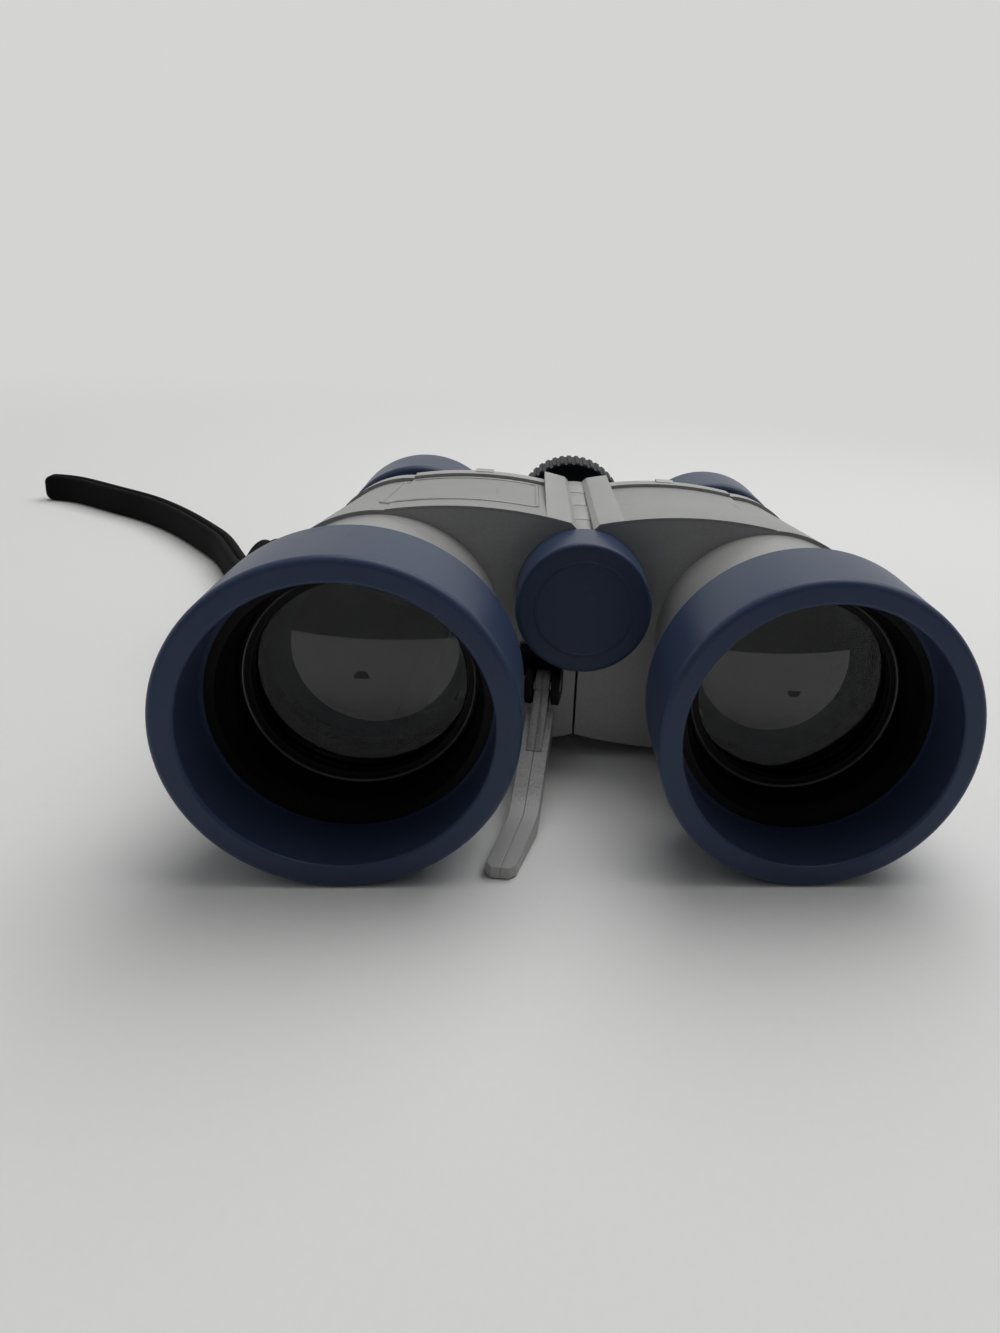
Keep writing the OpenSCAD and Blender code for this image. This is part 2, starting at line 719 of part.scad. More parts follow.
// The arms lap over each other at the hub: the left one in front, the right one behind
module bridge_arm(s) color(silver) on_side(s) {
    lap_front = s == LEFT ? arm_y : arm_back_y - lap_t;
    rest_front = s == LEFT ? arm_y + lap_t : arm_y;
    slope = atan2(-hinge_rise, barrel_x);
    difference() {
        union() {
            on_barrel() band(0, collar_r, arm_y, arm_back_y);
            along(arm_y, arm_back_y)
                translate([0, hinge_z]) rotate(slope) translate([0, -arm_w / 2])
                    square([norm([barrel_x, hinge_rise]), arm_w]);
            on_hinge() band(0, hub_r, lap_front, lap_front + lap_t);
        }
        on_hinge() band(0, hub_r + face_gap, rest_front, rest_front + arm_t - lap_t);
        on_hinge() band(0, screw_r + run_fit, arm_y - lap, arm_back_y + lap);
        on_barrel() band(0, eye_tube_r + push_fit, arm_y - lap, arm_back_y + lap);
    }
}

module hinge_tube() color(steel) on_hinge() {
    band(tube_bore_r, tube_r, cap_back_y - tube_nose, rear_y + face_gap);
    band(tube_bore_r, tube_flange_r, rear_y + face_gap, rear_y + face_gap + tube_flange_t);
}

module hinge_cap() color(navy) on_hinge() {
    difference() {
        rounded_band(0, cap_r, cap_y, cap_back_y, cap_round);
        band(0, disc_r, cap_y - lap, cap_y + disc_t);
        band(0, tube_r + push_fit, cap_back_y - tube_nose, cap_back_y + lap);
    }
}

module hinge_cap_disc() color(navy) on_hinge() band(0, disc_r - push_fit, cap_y, cap_y + disc_t);

module focus_wheel() color(deep_navy) {
    difference() {
        on_hinge() difference() {
            union() {
                band(screw_r + push_fit, wheel_r - wheel_round, wheel_y, wheel_end_y);
                band(screw_r + push_fit, wheel_r, wheel_y + wheel_round, wheel_end_y - wheel_round);
                for (y = [wheel_y + wheel_round, wheel_end_y - wheel_round])
                    translate([wheel_r - wheel_round, y]) circle(wheel_round);
            }
            band(0, wheel_cup_r, wheel_end_y - wheel_cup_t, wheel_end_y + lap);
        }
        for (a = [0:360 / wheel_grooves:359.9])
            translate([0, wheel_y - lap, hinge_z]) rotate([-90, 0, 0]) rotate(a) translate([wheel_r, 0, 0])
                cylinder(h = wheel_len + 2 * lap, r = groove_r, $fn = 24);
    }
}

module focus_screw() color(steel) on_hinge() {
    band(0, screw_r, screw_start_y, wheel_end_y - wheel_cup_t);
    band(0, screw_collar_r, screw_collar_y, screw_collar_y + screw_collar_t);
}

// The leg's own frame: the pivot at the origin, the leg pointing to -Y
module at_pivot() translate([-leg_x, pivot_y, pivot_z]) rotate(-leg_yaw) children();

// A flat YZ shape drawn out in X from x0 to x1
module across(x0, x1) translate([x0, 0, 0]) rotate([90, 0, 90]) linear_extrude(x1 - x0) children();

module leg_bracket() color(black) {
    difference() {
        union() {
            translate([-leg_x - cheek_gap - 2 * cheek_t, wall_y - bracket_t, pivot_z])
                cube([2 * cheek_gap + 3 * cheek_t, bracket_t, bracket_up]);
            at_pivot() for (x = [-cheek_gap - cheek_t, cheek_gap])
                across(x, x + cheek_t) {
                    circle(cheek_r);
                    translate([0, -cheek_r]) square([cheek_back, 2 * cheek_r]);
                }
        }
        at_pivot() across(-leg_w * 2, leg_w * 2) circle(pin_r + push_fit);
        on_side(LEFT) on_barrel() band(0, barrel_r + face_gap, hood_y, wall_y + lap);
        on_hinge() band(0, cap_r + face_gap, cap_y, wall_y + lap);
        translate([-big / 2, wall_y, -big / 2]) cube(big);
    }
}

module leg_pin() color(steel) at_pivot()
    across(-cheek_gap - cheek_t - push_fit, cheek_gap + cheek_t + push_fit) circle(pin_r);

// Plan of one half of the leg, on side s of its parting line, with the foot turned to the left
module leg_plan(s) {
    half = s * leg_w / 2;
    tip = [-foot_len * tan(foot_turn), -leg_reach - foot_len];
    polygon([
        [0, cheek_r + lap], [half, cheek_r + lap], [half, -leg_reach], tip + [half, tip_ease],
        tip + [half - s * tip_ease, 0], tip, [0, -leg_reach]
    ]);
}

// One moulded half of the leg, on side s of its parting line
module leg_half(s) {
    kink = [-leg_reach, -leg_drop];
    root = [0, -leg_t / 2];
    tip_y = -leg_reach - foot_len;
    tip_top = [tip_y, tip_t - leg_drop];
    eye_r = cheek_r - 0.6;
    knee = kink + [leg_reach / 2, leg_drop / 2];
    intersection() {
        difference() {
            union() {
                across(-neck_w / 2, neck_w / 2) {
                    circle(eye_r);
                    polygon([[-eye_r, 0], [0, -eye_r], knee, knee + [0, lap]]);
                }
                difference() {
                    across(-leg_w, leg_w) polygon([
                        root, each bend(root, kink + [0, leg_t], tip_top, kink_round), tip_top, [tip_y, -leg_drop],
                        kink + [leg_t / 2, 0], [0, -leg_t * 1.7]
                    ]);
                    across(-2 * leg_w, 2 * leg_w) {
                        circle(cheek_r + face_gap);
                        intersection() {
                            circle(leg_clear_r);
                            translate([-leg_shoulder, -big / 2]) square(big);
                        }
                    }
                }
            }
            across(-leg_w, leg_w) circle(pin_r + run_fit);
        }
        translate([0, 0, -leg_drop - lap]) linear_extrude(leg_drop + cheek_r + 2 * lap) leg_plan(s);
    }
}

module leg_inner_half() color(silver) at_pivot() leg_half(RIGHT);

module leg_outer_half() color(silver) at_pivot() leg_half(LEFT);

// The clamp's own frame: the eye of the lug at the origin, the clamp pointing to +X
module at_lug() translate([lug_eye_x, lug_at_y, 0]) rotate(clamp_turn) children();

// Outline of the strap clamp seen from above, with its corners cut off over the lug
module clamp_outline() {
    half = clamp_w / 2;
    cut = half * tan(22.5);
    intersection() {
        at_lug() polygon([
            [-half, -cut], [-cut, -half], [clamp_reach, -half], [clamp_reach, half], [-cut, half], [-half, cut]
        ]);
        translate([clamp_x, lug_at_y - clamp_w]) square(3 * clamp_w);
    }
}

// Moulded clamp that holds the end of the strap, with its pin through the eye of the left lug
module strap_clamp() color(black) on_side(LEFT) {
    jaw_z = lug_z - jaw_t;
    clamp_h = lug_t + 2 * jaw_t;
    difference() {
        translate([0, 0, jaw_z]) linear_extrude(clamp_h) clamp_outline();
        at_lug() translate([-clamp_w, -clamp_w, lug_z - push_fit])
            cube([clamp_w + lug_w / 2 + push_fit, 2 * clamp_w, lug_t + 2 * push_fit]);
    }
    at_lug() translate([0, 0, jaw_z]) cylinder(h = clamp_h, r = lug_eye_r - run_fit);
}

module strap_cord() color(black) strap_band(refined(strap_route, strap_steps));

top_shell(LEFT);  // left_top_shell
bottom_shell(LEFT);  // left_bottom_shell
top_panel(LEFT);  // left_top_panel
screws(LEFT);  // left_screws
barrel(LEFT);  // left_barrel
hood(LEFT);  // left_hood
lens_cell(LEFT);  // left_lens_cell
objective_lens(LEFT);  // left_objective_lens
lens_ring(LEFT);  // left_lens_ring
eyepiece_guide(LEFT);  // left_eyepiece_guide
eyepiece_tube(LEFT);  // left_eyepiece_tube
eyecup(LEFT);  // left_eyecup
eye_lens(LEFT);  // left_eye_lens
eye_ring(LEFT);  // left_eye_ring
bridge_arm(LEFT);  // left_bridge_arm
top_shell(RIGHT);  // right_top_shell
bottom_shell(RIGHT);  // right_bottom_shell
top_panel(RIGHT);  // right_top_panel
screws(RIGHT);  // right_screws
barrel(RIGHT);  // right_barrel
hood(RIGHT);  // right_hood
lens_cell(RIGHT);  // right_lens_cell
objective_lens(RIGHT);  // right_objective_lens
lens_ring(RIGHT);  // right_lens_ring
eyepiece_guide(RIGHT);  // right_eyepiece_guide
eyepiece_tube(RIGHT);  // right_eyepiece_tube
eyecup(RIGHT);  // right_eyecup
eye_lens(RIGHT);  // right_eye_lens
eye_ring(RIGHT);  // right_eye_ring
bridge_arm(RIGHT);  // right_bridge_arm
hinge_tube();
hinge_cap();
hinge_cap_disc();
focus_wheel();
focus_screw();
leg_bracket();
leg_pin();
leg_inner_half();
leg_outer_half();
strap_clamp();
strap_cord();
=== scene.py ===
"""Looks of the toy binoculars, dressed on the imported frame.

Lengths are in metres, in the frame of the part: the objectives face -Y and the object stands on z = 0.
"""

from __future__ import annotations

import json
import logging
import math
from dataclasses import dataclass
from enum import Enum
from typing import Any, Sequence

import bmesh
import bpy
from mathutils import Matrix, Vector

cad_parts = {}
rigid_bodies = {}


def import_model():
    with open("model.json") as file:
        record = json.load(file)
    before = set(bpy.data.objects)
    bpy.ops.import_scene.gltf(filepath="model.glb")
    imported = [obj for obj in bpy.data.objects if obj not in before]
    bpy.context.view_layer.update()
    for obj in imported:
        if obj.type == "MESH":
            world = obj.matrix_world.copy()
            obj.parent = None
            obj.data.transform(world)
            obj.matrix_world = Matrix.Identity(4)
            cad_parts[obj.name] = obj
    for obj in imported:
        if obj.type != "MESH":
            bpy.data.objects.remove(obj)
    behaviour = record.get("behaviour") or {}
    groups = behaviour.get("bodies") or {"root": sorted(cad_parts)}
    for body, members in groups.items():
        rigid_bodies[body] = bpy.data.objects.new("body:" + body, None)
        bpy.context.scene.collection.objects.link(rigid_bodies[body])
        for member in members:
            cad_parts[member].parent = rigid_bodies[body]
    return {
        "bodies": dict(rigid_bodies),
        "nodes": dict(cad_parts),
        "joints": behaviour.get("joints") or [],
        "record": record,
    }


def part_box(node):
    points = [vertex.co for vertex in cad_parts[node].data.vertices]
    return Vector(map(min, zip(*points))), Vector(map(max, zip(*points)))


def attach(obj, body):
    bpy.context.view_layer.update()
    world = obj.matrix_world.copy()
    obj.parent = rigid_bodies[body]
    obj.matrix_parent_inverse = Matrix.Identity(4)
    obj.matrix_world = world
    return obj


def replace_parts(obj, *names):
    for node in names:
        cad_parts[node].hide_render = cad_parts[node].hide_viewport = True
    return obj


LOG = logging.getLogger("binoculars")
MM = 0.001
UP = Vector((0.0, 0.0, 1.0))
PHOTO_WIDTH = 1000
PHOTO_HEIGHT = 1333

Colour = tuple[float, float, float]
Point = tuple[float, float, float]
FlatPoint = tuple[float, float]
Face = tuple[int, ...]
MeshParts = tuple[list[Point], list[Face]]
Socket = bpy.types.NodeSocket

EVEN: Point = (1.0, 1.0, 1.0)


class Side(Enum):
    """One half of the binoculars."""

    LEFT = "left"
    RIGHT = "right"

    @property
    def sign(self) -> int:
        """-1 on the left and 1 on the right."""
        return -1 if self is Side.LEFT else 1

    def node(self, name: str) -> str:
        """Name of this side's node."""
        return f"{self.value}_{name}"


class Slot(Enum):
    """Material slots of the record."""

    SHELL = "silver_shell"
    PANEL = "silver_panel"
    BARREL = "silver_barrel"
    LEG = "silver_leg"
    NAVY = "navy_plastic"
    WHEEL = "wheel_plastic"
    BLACK = "black_plastic"
    GLASS = "lens_glass"
    STEEL = "screw_steel"
    CORD = "strap_cord"


class Value:
    """A number that varies over a surface. Python's operators on it add Math nodes."""

    def __init__(self, graph: Graph, socket: Socket) -> None:
        """Wrap one output socket.

        Args:
            graph: the node tree that the socket belongs to.
            socket: the output socket.
        """
        self.graph = graph
        self.socket = socket

    def __add__(self, other: Number) -> Value:
        """self + other."""
        return self.graph.math("ADD", self, other)

    def __radd__(self, other: Number) -> Value:
        """other + self."""
        return self.graph.math("ADD", other, self)

    def __sub__(self, other: Number) -> Value:
        """self - other."""
        return self.graph.math("SUBTRACT", self, other)

    def __rsub__(self, other: Number) -> Value:
        """other - self."""
        return self.graph.math("SUBTRACT", other, self)

    def __mul__(self, other: Number) -> Value:
        """self * other."""
        return self.graph.math("MULTIPLY", self, other)

    def __rmul__(self, other: Number) -> Value:
        """other * self."""
        return self.graph.math("MULTIPLY", other, self)

    def __pow__(self, other: Number) -> Value:
        """self to a power."""
        return self.graph.math("POWER", self, other)


Number = Value | float | int


class Graph:
    """A node tree and what adds nodes to it."""

    MIX_FIRST = 6
    MIX_SECOND = 7
    MIX_RESULT = 2

    def __init__(self, tree: bpy.types.NodeTree) -> None:
        """Start with an empty tree.

        Args:
            tree: the node tree of a material or a world.
        """
        self.tree = tree
        self.tree.nodes.clear()

    def node(
        self,
        kind: str,
        settings: dict[str, Any] | None = None,
        inputs: dict[Any, Any] | None = None,
    ) -> bpy.types.Node:
        """Add a node.

        Args:
            kind: the node's type.
            settings: properties that are set first.
            inputs: values or links of its sockets, by name or number.

        Returns:
            The new node.
        """
        made = self.tree.nodes.new(kind)
        for name, value in (settings or {}).items():
            setattr(made, name, value)
        for key, value in (inputs or {}).items():
            self.feed(made.inputs[key], value)
        return made

    def feed(self, socket: Socket, value: Any) -> None:
        """Set a socket's value, or link it.

        Args:
            socket: the input socket.
            value: a number, a colour, a vector, a socket or a Value.
        """
        if isinstance(value, Value):
            value = value.socket
        if isinstance(value, Socket):
            self.tree.links.new(value, socket)
        elif socket.type == "RGBA" and len(value) == 3:
            socket.default_value = (*value, 1.0)
        else:
            socket.default_value = value

    def math(self, operation: str, *values: Number) -> Value:
        """Add a Math node.

        Args:
            operation: its operation.
            values: its operands.

        Returns:
            The node's result.
        """
        inputs = dict(enumerate(values))
        return Value(self, self.node("ShaderNodeMath", {"operation": operation}, inputs).outputs[0])

    def step(self, value: Number, low: float, high: float) -> Value:
        """A soft step of a value.

        Args:
            value: the value.
            low: where the step is 0.
            high: where the step is 1.

        Returns:
            The step, from 0 to 1.
        """
        settings = {"interpolation_type": "SMOOTHSTEP", "clamp": True}
        inputs = {"Value": value, "From Min": low, "From Max": high}
        return Value(self, self.node("ShaderNodeMapRange", settings, inputs).outputs["Result"])

    def blend(self, share: Number, first: Any, second: Any) -> Socket:
        """Mix two colours.

        Args:
            share: share of the second colour.
            first: colour or socket.
            second: colour or socket.

        Returns:
            The mixed colour.
        """
        inputs = {0: share, self.MIX_FIRST: first, self.MIX_SECOND: second}
        return self.node("ShaderNodeMix", {"data_type": "RGBA"}, inputs).outputs[self.MIX_RESULT]

    def parts(self, vector: Socket) -> list[Value]:
        """The three parts of a vector."""
        return [Value(self, part) for part in self.node("ShaderNodeSeparateXYZ", inputs={0: vector}).outputs]

    def ray(self, kind: str) -> Value:
        """1 on rays of one kind, such as "Glossy", and 0 on others."""
        return Value(self, self.node("ShaderNodeLightPath").outputs[f"Is {kind} Ray"])

    def seen(self) -> Value:
        """1 on rays that show the background, straight, in gloss or through glass."""
        return self.math("MINIMUM", self.ray("Camera") + self.ray("Glossy") + self.ray("Transmission"), 1.0)


class Surface(Graph):
    """A material under construction, with one Principled shader."""

    def __init__(self, name: str) -> None:
        """Start the material.

        Args:
            name: the material's name.
        """
        self.material = bpy.data.materials.new(name)
        self.material.use_nodes = True
        super().__init__(self.material.node_tree)
        self.shader = self.node("ShaderNodeBsdfPrincipled")
        self.output = self.node("ShaderNodeOutputMaterial", inputs={"Surface": self.shader.outputs[0]})
        self.place = self.node("ShaderNodeTexCoord").outputs["Object"]

    def distance(self) -> Value:
        """Distance from the object's origin."""
        made = self.node("ShaderNodeVectorMath", {"operation": "LENGTH"}, {0: self.place})
        return Value(self, made.outputs["Value"])

    def noise(self, scale: float, detail: float, stretch: Point = EVEN) -> Value:
        """Soft noise from 0 to 1.

        Args:
            scale: cells per metre.
            detail: octaves.
            stretch: share of the scale on each axis.

        Returns:
            The noise.
        """
        place = self.node("ShaderNodeVectorMath", {"operation": "MULTIPLY"}, {0: self.place, 1: stretch})
        inputs = {"Vector": place.outputs[0], "Scale": scale, "Detail": detail}
        return Value(self, self.node("ShaderNodeTexNoise", inputs=inputs).outputs[0])

    def cells(self, scale: float) -> Value:
        """Cells of random brightness, so many per metre."""
        inputs = {"Vector": self.place, "Scale": scale}
        return Value(self, self.node("ShaderNodeTexVoronoi", inputs=inputs).outputs["Color"])

    def bump(self, height: Value, depth: float, strength: float) -> Socket:
        """A bumped normal.

        Args:
            height: relief from 0 to 1.
            depth: depth of the relief.
            strength: share of the relief that shows.

        Returns:
            The normal.
        """
        inputs = {"Height": height, "Distance": depth, "Strength": strength}
        return self.node("ShaderNodeBump", inputs=inputs).outputs[0]

    def glow(self, share: Value, under: Socket, tone: Colour) -> Socket:
        """Cover part of a shader with an even tone that no light changes.

        Args:
            share: share of the tone.
            under: the shader that it covers.
            tone: the tone.

        Returns:
            The covered shader.
        """
        even = self.node("ShaderNodeEmission", inputs={"Color": tone})
        inputs = {0: share, 1: under, 2: even.outputs[0]}
        return self.node("ShaderNodeMixShader", inputs=inputs).outputs[0]

    def dress(self, **inputs: Any) -> None:
        """Feed values or links to the shader's sockets, named with underscores for spaces."""
        for name, value in inputs.items():
            self.feed(self.shader.inputs[name.replace("_", " ").replace("Ior", "IOR")], value)


@dataclass(frozen=True)
class Patches:
    """Patches with soft edges, where a noise runs high."""

    scale: float
    detail: float
    edge: float
    full: float
    stretch: Point = EVEN

    def share(self, s: Surface) -> Value:
        """1 in the patches of a surface and 0 between them."""
        return s.step(s.noise(self.scale, self.detail, self.stretch), self.edge, self.full)


@dataclass(frozen=True)
class Hollow:
    """The matt black inside of a tube about a barrel axis: black inner paint, and painted shade of the closed
    tube.
    """

    front_y: float
    rear_y: float
    front_r: float
    rear_r: float
    axis_x: float = 32.6 * MM
    axis_z: float = 23.5 * MM
    edge: float = 0.1 * MM
    tone: Colour = (0.004, 0.004, 0.004)

    def share(self, s: Surface) -> Value:
        """Where the inside of the tube is.

        Args:
            s: the surface that is dressed.

        Returns:
            1 on the inside and 0 elsewhere.
        """
        x, y, z = s.parts(s.place)
        across = s.math("ABSOLUTE", x) - self.axis_x
        rise = z - self.axis_z
        taper = (self.rear_r - self.front_r) / (self.rear_y - self.front_y)
        depth = self.front_r + taper * (y - self.front_y) - (across * across + rise * rise) ** 0.5
        begun = s.step(y, self.front_y, self.front_y + self.edge)
        ended = s.step(y, self.rear_y - self.edge, self.rear_y)
        return s.step(depth, 0.0, self.edge) * (begun - ended)


# Black inner paint and painted shade: where these hollows are, the silver turns matt black.
BARREL_INSIDE = Hollow(-60.0 * MM, 27.3 * MM, 18.8 * MM, 18.8 * MM)
TUBE_INSIDE = Hollow(27.2 * MM, 60.0 * MM, 11.7 * MM, 11.7 * MM)
SHELL_INSIDE = Hollow(-15.0 * MM, 28.5 * MM, 19.1 * MM, 15.9 * MM)


@dataclass(frozen=True)
class Finish:
    """A finish, which coats a material of its own."""

    name: str

    def coat(self, s: Surface) -> None:
        """Feed the shader of a new surface."""
        raise NotImplementedError

    def material(self) -> bpy.types.Material:
        """Build the material.

        Returns:
            The material.
        """
        s = Surface(self.name)
        self.coat(s)
        return s.material


@dataclass(frozen=True)
class SilverLacquer(Finish):
    """Silver metallic lacquer on moulded plastic, with flakes, soft clouds and fine scuffs, and, where asked,
    painted light near the floor and painted shade in hollows.
    """

    dark: Colour = (0.29, 0.29, 0.286)
    light: Colour = (0.44, 0.44, 0.433)
    metallic: float = 0.28
    roughness: float = 0.4
    gloss: float = 0.25
    flake_scale: float = 5200.0
    flake_tone: float = 0.4
    flake_relief: float = 0.25
    grain_scale: float = 1500.0
    grain_tone: float = 0.35
    grain_rough: float = 0.12
    grain_depth: float = 0.03 * MM
    grain_strength: float = 0.6
    cloud_scale: float = 60.0
    cloud_tone: float = 0.6
    scuffs: float = 0.4
    scuff_tone: float = 0.3
    scuff_rough: float = 0.16
    scuff_marks: Patches = Patches(380.0, 5.0, 0.64, 0.74, stretch=(1.0, 0.1, 1.0))
    # Painted light: below this height the lacquer is lighter; 0 leaves it out.
    painted_light_height: float = 0.0
    painted_light_full_share: float = 0.4
    insides: tuple[Hollow, ...] = ()

    def coat(self, s: Surface) -> None:
        """Feed the shader of a new surface.

        Args:
            s: the surface.
        """
        flakes = s.cells(self.flake_scale)
        grain = s.noise(self.grain_scale, detail=3.0)
        cloud = s.noise(self.cloud_scale, detail=3.0)
        scuff = self.scuff_marks.share(s) * self.scuffs
        tone = 0.5 + self.flake_tone * (flakes - 0.5) + self.cloud_tone * (cloud - 0.5)
        tone = tone + self.grain_tone * (grain - 0.5) - self.scuff_tone * scuff
        # Painted light: lighter towards the floor, fully so below the painted_light_full_share of the height.
        if self.painted_light_height:
            _, _, up = s.parts(s.place)
            tone = tone + 1 - s.step(up, self.painted_light_full_share * self.painted_light_height, self.painted_light_height)
        colour = s.blend(tone, self.dark, self.light)
        rough = self.roughness + self.grain_rough * (grain - 0.5) + self.scuff_rough * scuff
        relief = flakes * self.flake_relief + grain
        # Painted shade with black inner paint: the hollows turn black, matt and smooth.
        for hollow in self.insides:
            inside = hollow.share(s)
            colour = s.blend(inside, colour, hollow.tone)
            rough = rough + inside * (1 - rough)
            relief = relief * (1 - inside)
        s.dress(
            Base_Color=colour,
            Metallic=self.metallic,
            Roughness=rough,
            Specular_Ior_Level=self.gloss,
            Normal=s.bump(relief, self.grain_depth, self.grain_strength),
        )


@dataclass(frozen=True)
class MouldedPlastic(Finish):
    """Moulded plastic with a fine spark-eroded grain and pale rubbed specks."""

    dark: Colour
    light: Colour
    roughness: float = 0.44
    gloss: float = 0.5
    grain_scale: float = 3000.0
    grain_tone: float = 0.3
    grain_depth: float = 0.04 * MM
    grain_strength: float = 0.5
    cloud_scale: float = 60.0
    cloud_tone: float = 0.7
    cloud_rough: float = 0.16
    rub: float = 0.25
    rub_rough: float = 0.2
    rub_marks: Patches = Patches(330.0, 6.0, 0.62, 0.76)

    def coat(self, s: Surface) -> None:
        """Feed the shader of a new surface.

        Args:
            s: the surface.
        """
        grain = s.noise(self.grain_scale, detail=2.0)
        cloud = s.noise(self.cloud_scale, detail=4.0)
        rub = self.rub_marks.share(s) * self.rub
        tone = 0.5 + self.cloud_tone * (cloud - 0.5) + self.grain_tone * (grain - 0.5) + rub
        s.dress(
            Base_Color=s.blend(tone, self.dark, self.light),
            Roughness=self.roughness + self.cloud_rough * (cloud - 0.5) + self.rub_rough * rub,
            Specular_Ior_Level=self.gloss,
            Normal=s.bump(grain, self.grain_depth, self.grain_strength),
        )


@dataclass(frozen=True)
class LensGlass(Finish):
    """Clear polished lens with a faint film of dust."""

    tint: Colour = (0.56, 0.58, 0.575)
    dusty: Colour = (0.5, 0.515, 0.51)
    film: Patches = Patches(90.0, 4.0, 0.5, 0.8)
    refraction: float = 1.5

    def coat(self, s: Surface) -> None:
        """Feed the shader of a new surface.

        Args:
            s: the surface.
        """
        s.dress(
            Base_Color=s.blend(self.film.share(s), self.tint, self.dusty),
            Transmission_Weight=1.0,
            Ior=self.refraction,
            Roughness=0.0,
        )


@dataclass(frozen=True)
class TurnedSteel(Finish):
    """Plain steel with turning marks."""

    dark: Colour = (0.34, 0.34, 0.35)
    light: Colour = (0.58, 0.58, 0.6)
    roughness: float = 0.25
    mark_scale: float = 1500.0
    mark_stretch: Point = (0.2, 1.0, 0.2)
    mark_rough: float = 0.2
    mark_depth: float = 0.03 * MM
    mark_strength: float = 0.5

    def coat(self, s: Surface) -> None:
        """Feed the shader of a new surface.

        Args:
            s: the surface.
        """
        marks = s.noise(self.mark_scale, detail=4.0, stretch=self.mark_stretch)
        s.dress(
            Base_Color=s.blend(marks, self.dark, self.light),
            Metallic=1.0,
            Roughness=self.roughness + self.mark_rough * marks,
            Normal=s.bump(marks, self.mark_depth, self.mark_strength),
        )


@dataclass(frozen=True)
class WovenYarn(Finish):
    """Black polyester yarn of a woven band, a little dusty."""

    dark: Colour = (0.0015, 0.0015, 0.0015)
    light: Colour = (0.007, 0.0068, 0.0066)
    roughness: float = 0.82
    gloss: float = 0.15
    fibre_scale: float = 5200.0
    fibre_tone: float = 0.6
    fibre_rough: float = 0.12
    fibre_depth: float = 0.05 * MM
    fibre_strength: float = 0.6
    dust: Patches = Patches(700.0, 4.0, 0.62, 0.78)
    dust_tone: float = 0.35

    def coat(self, s: Surface) -> None:
        """Feed the shader of a new surface.

        Args:
            s: the surface.
        """
        fibre = s.noise(self.fibre_scale, detail=3.0)
        tone = fibre * self.fibre_tone + self.dust.share(s) * self.dust_tone
        s.dress(
            Base_Color=s.blend(tone, self.dark, self.light),
            Roughness=self.roughness + self.fibre_rough * fibre,
            Specular_Ior_Level=self.gloss,
            Normal=s.bump(fibre, self.fibre_depth, self.fibre_strength),
        )


@dataclass(frozen=True)
class StudioPaper(Finish):
    """Plain pale paper of the floor and backdrop, evenly lit away from the object.

    Gloss and lenses mirror a dim room beyond the paper's front edge.
    """

    tone: Colour = (0.86, 0.86, 0.85)
    far_tone: Colour = (0.66, 0.66, 0.645)
    near: float = 0.16
    far: float = 0.6
    front_edge: float = -185.0 * MM
    edge_blur: float = 6.0 * MM
    room_tone: Colour = (0.03, 0.03, 0.03)
    roughness: float = 0.85
    fibre_scale: float = 900.0
    fibre_shade: float = 0.97

    def coat(self, s: Surface) -> None:
        """Feed the shader of a new surface.

        Args:
            s: the surface.
        """
        fibre = s.noise(self.fibre_scale, detail=3.0)
        shade = tuple(self.fibre_shade * c for c in self.tone)
        s.dress(Base_Color=s.blend(fibre, shade, self.tone), Roughness=self.roughness)
        away = s.step(s.distance(), self.near, self.far) * s.seen()
        paper = s.glow(away, s.shader.outputs[0], self.far_tone)
        _, along, _ = s.parts(s.place)
        past = s.ray("Glossy") * (1 - s.step(along, self.front_edge - self.edge_blur, self.front_edge))
        s.feed(s.output.inputs["Surface"], s.glow(past, paper, self.room_tone))


FINISHES: dict[Slot, Finish] = {
    Slot.SHELL: SilverLacquer("silver_shell_lacquer", insides=(SHELL_INSIDE,)),
    Slot.PANEL: SilverLacquer(
        "silver_panel_lacquer",
        dark=(0.24, 0.24, 0.237),
        light=(0.36, 0.36, 0.355),
        grain_scale=900.0,
        grain_depth=0.08 * MM,
        scuffs=0.6,
    ),
    Slot.BARREL: SilverLacquer(
        "silver_barrel_lacquer", roughness=0.34, scuffs=0.3, insides=(BARREL_INSIDE, TUBE_INSIDE)
    ),
    # Painted shade: darker silver than the shell's, for the leg that stands in the shade under the cap.
    Slot.LEG: SilverLacquer(
        "silver_leg_lacquer",
        dark=(0.12, 0.12, 0.118),
        light=(0.4, 0.4, 0.394),
        metallic=0.05,
        roughness=0.42,
        scuffs=0.8,
        # Painted light: the leg's foot is lighter below this height.
        painted_light_height=6.5 * MM,
    ),
    Slot.NAVY: MouldedPlastic(
        "slate_navy_plastic", (0.024, 0.037, 0.08), (0.043, 0.063, 0.123), roughness=0.36, gloss=0.22
    ),
    Slot.WHEEL: MouldedPlastic("dark_navy_plastic", (0.003, 0.004, 0.007), (0.007, 0.009, 0.015), gloss=0.1),
    Slot.BLACK: MouldedPlastic(
        "black_plastic", (0.0015, 0.0015, 0.0015), (0.004, 0.004, 0.004), roughness=0.5, gloss=0.2
    ),
    Slot.GLASS: LensGlass("clear_lens"),
    Slot.STEEL: TurnedSteel("turned_steel"),
    Slot.CORD: WovenYarn("black_webbing"),
}
RIM_FINISH = MouldedPlastic(
    "polished_black_rim", (0.03, 0.03, 0.03), (0.06, 0.06, 0.06), roughness=0.3, gloss=0.8
)


def add_to_scene(name: str, data: bpy.types.ID) -> bpy.types.Object:
    """Make an object and put it in the scene.

    Args:
        name: the object's name.
        data: its mesh, lamp or camera.

    Returns:
        The new object.
    """
    made = bpy.data.objects.new(name, data)
    bpy.context.scene.collection.objects.link(made)
    return made


def unit_circle(count: int) -> list[FlatPoint]:
    """Points evenly spaced round a circle of radius 1."""
    turns = [math.tau * k / count for k in range(count)]
    return [(math.cos(turn), math.sin(turn)) for turn in turns]


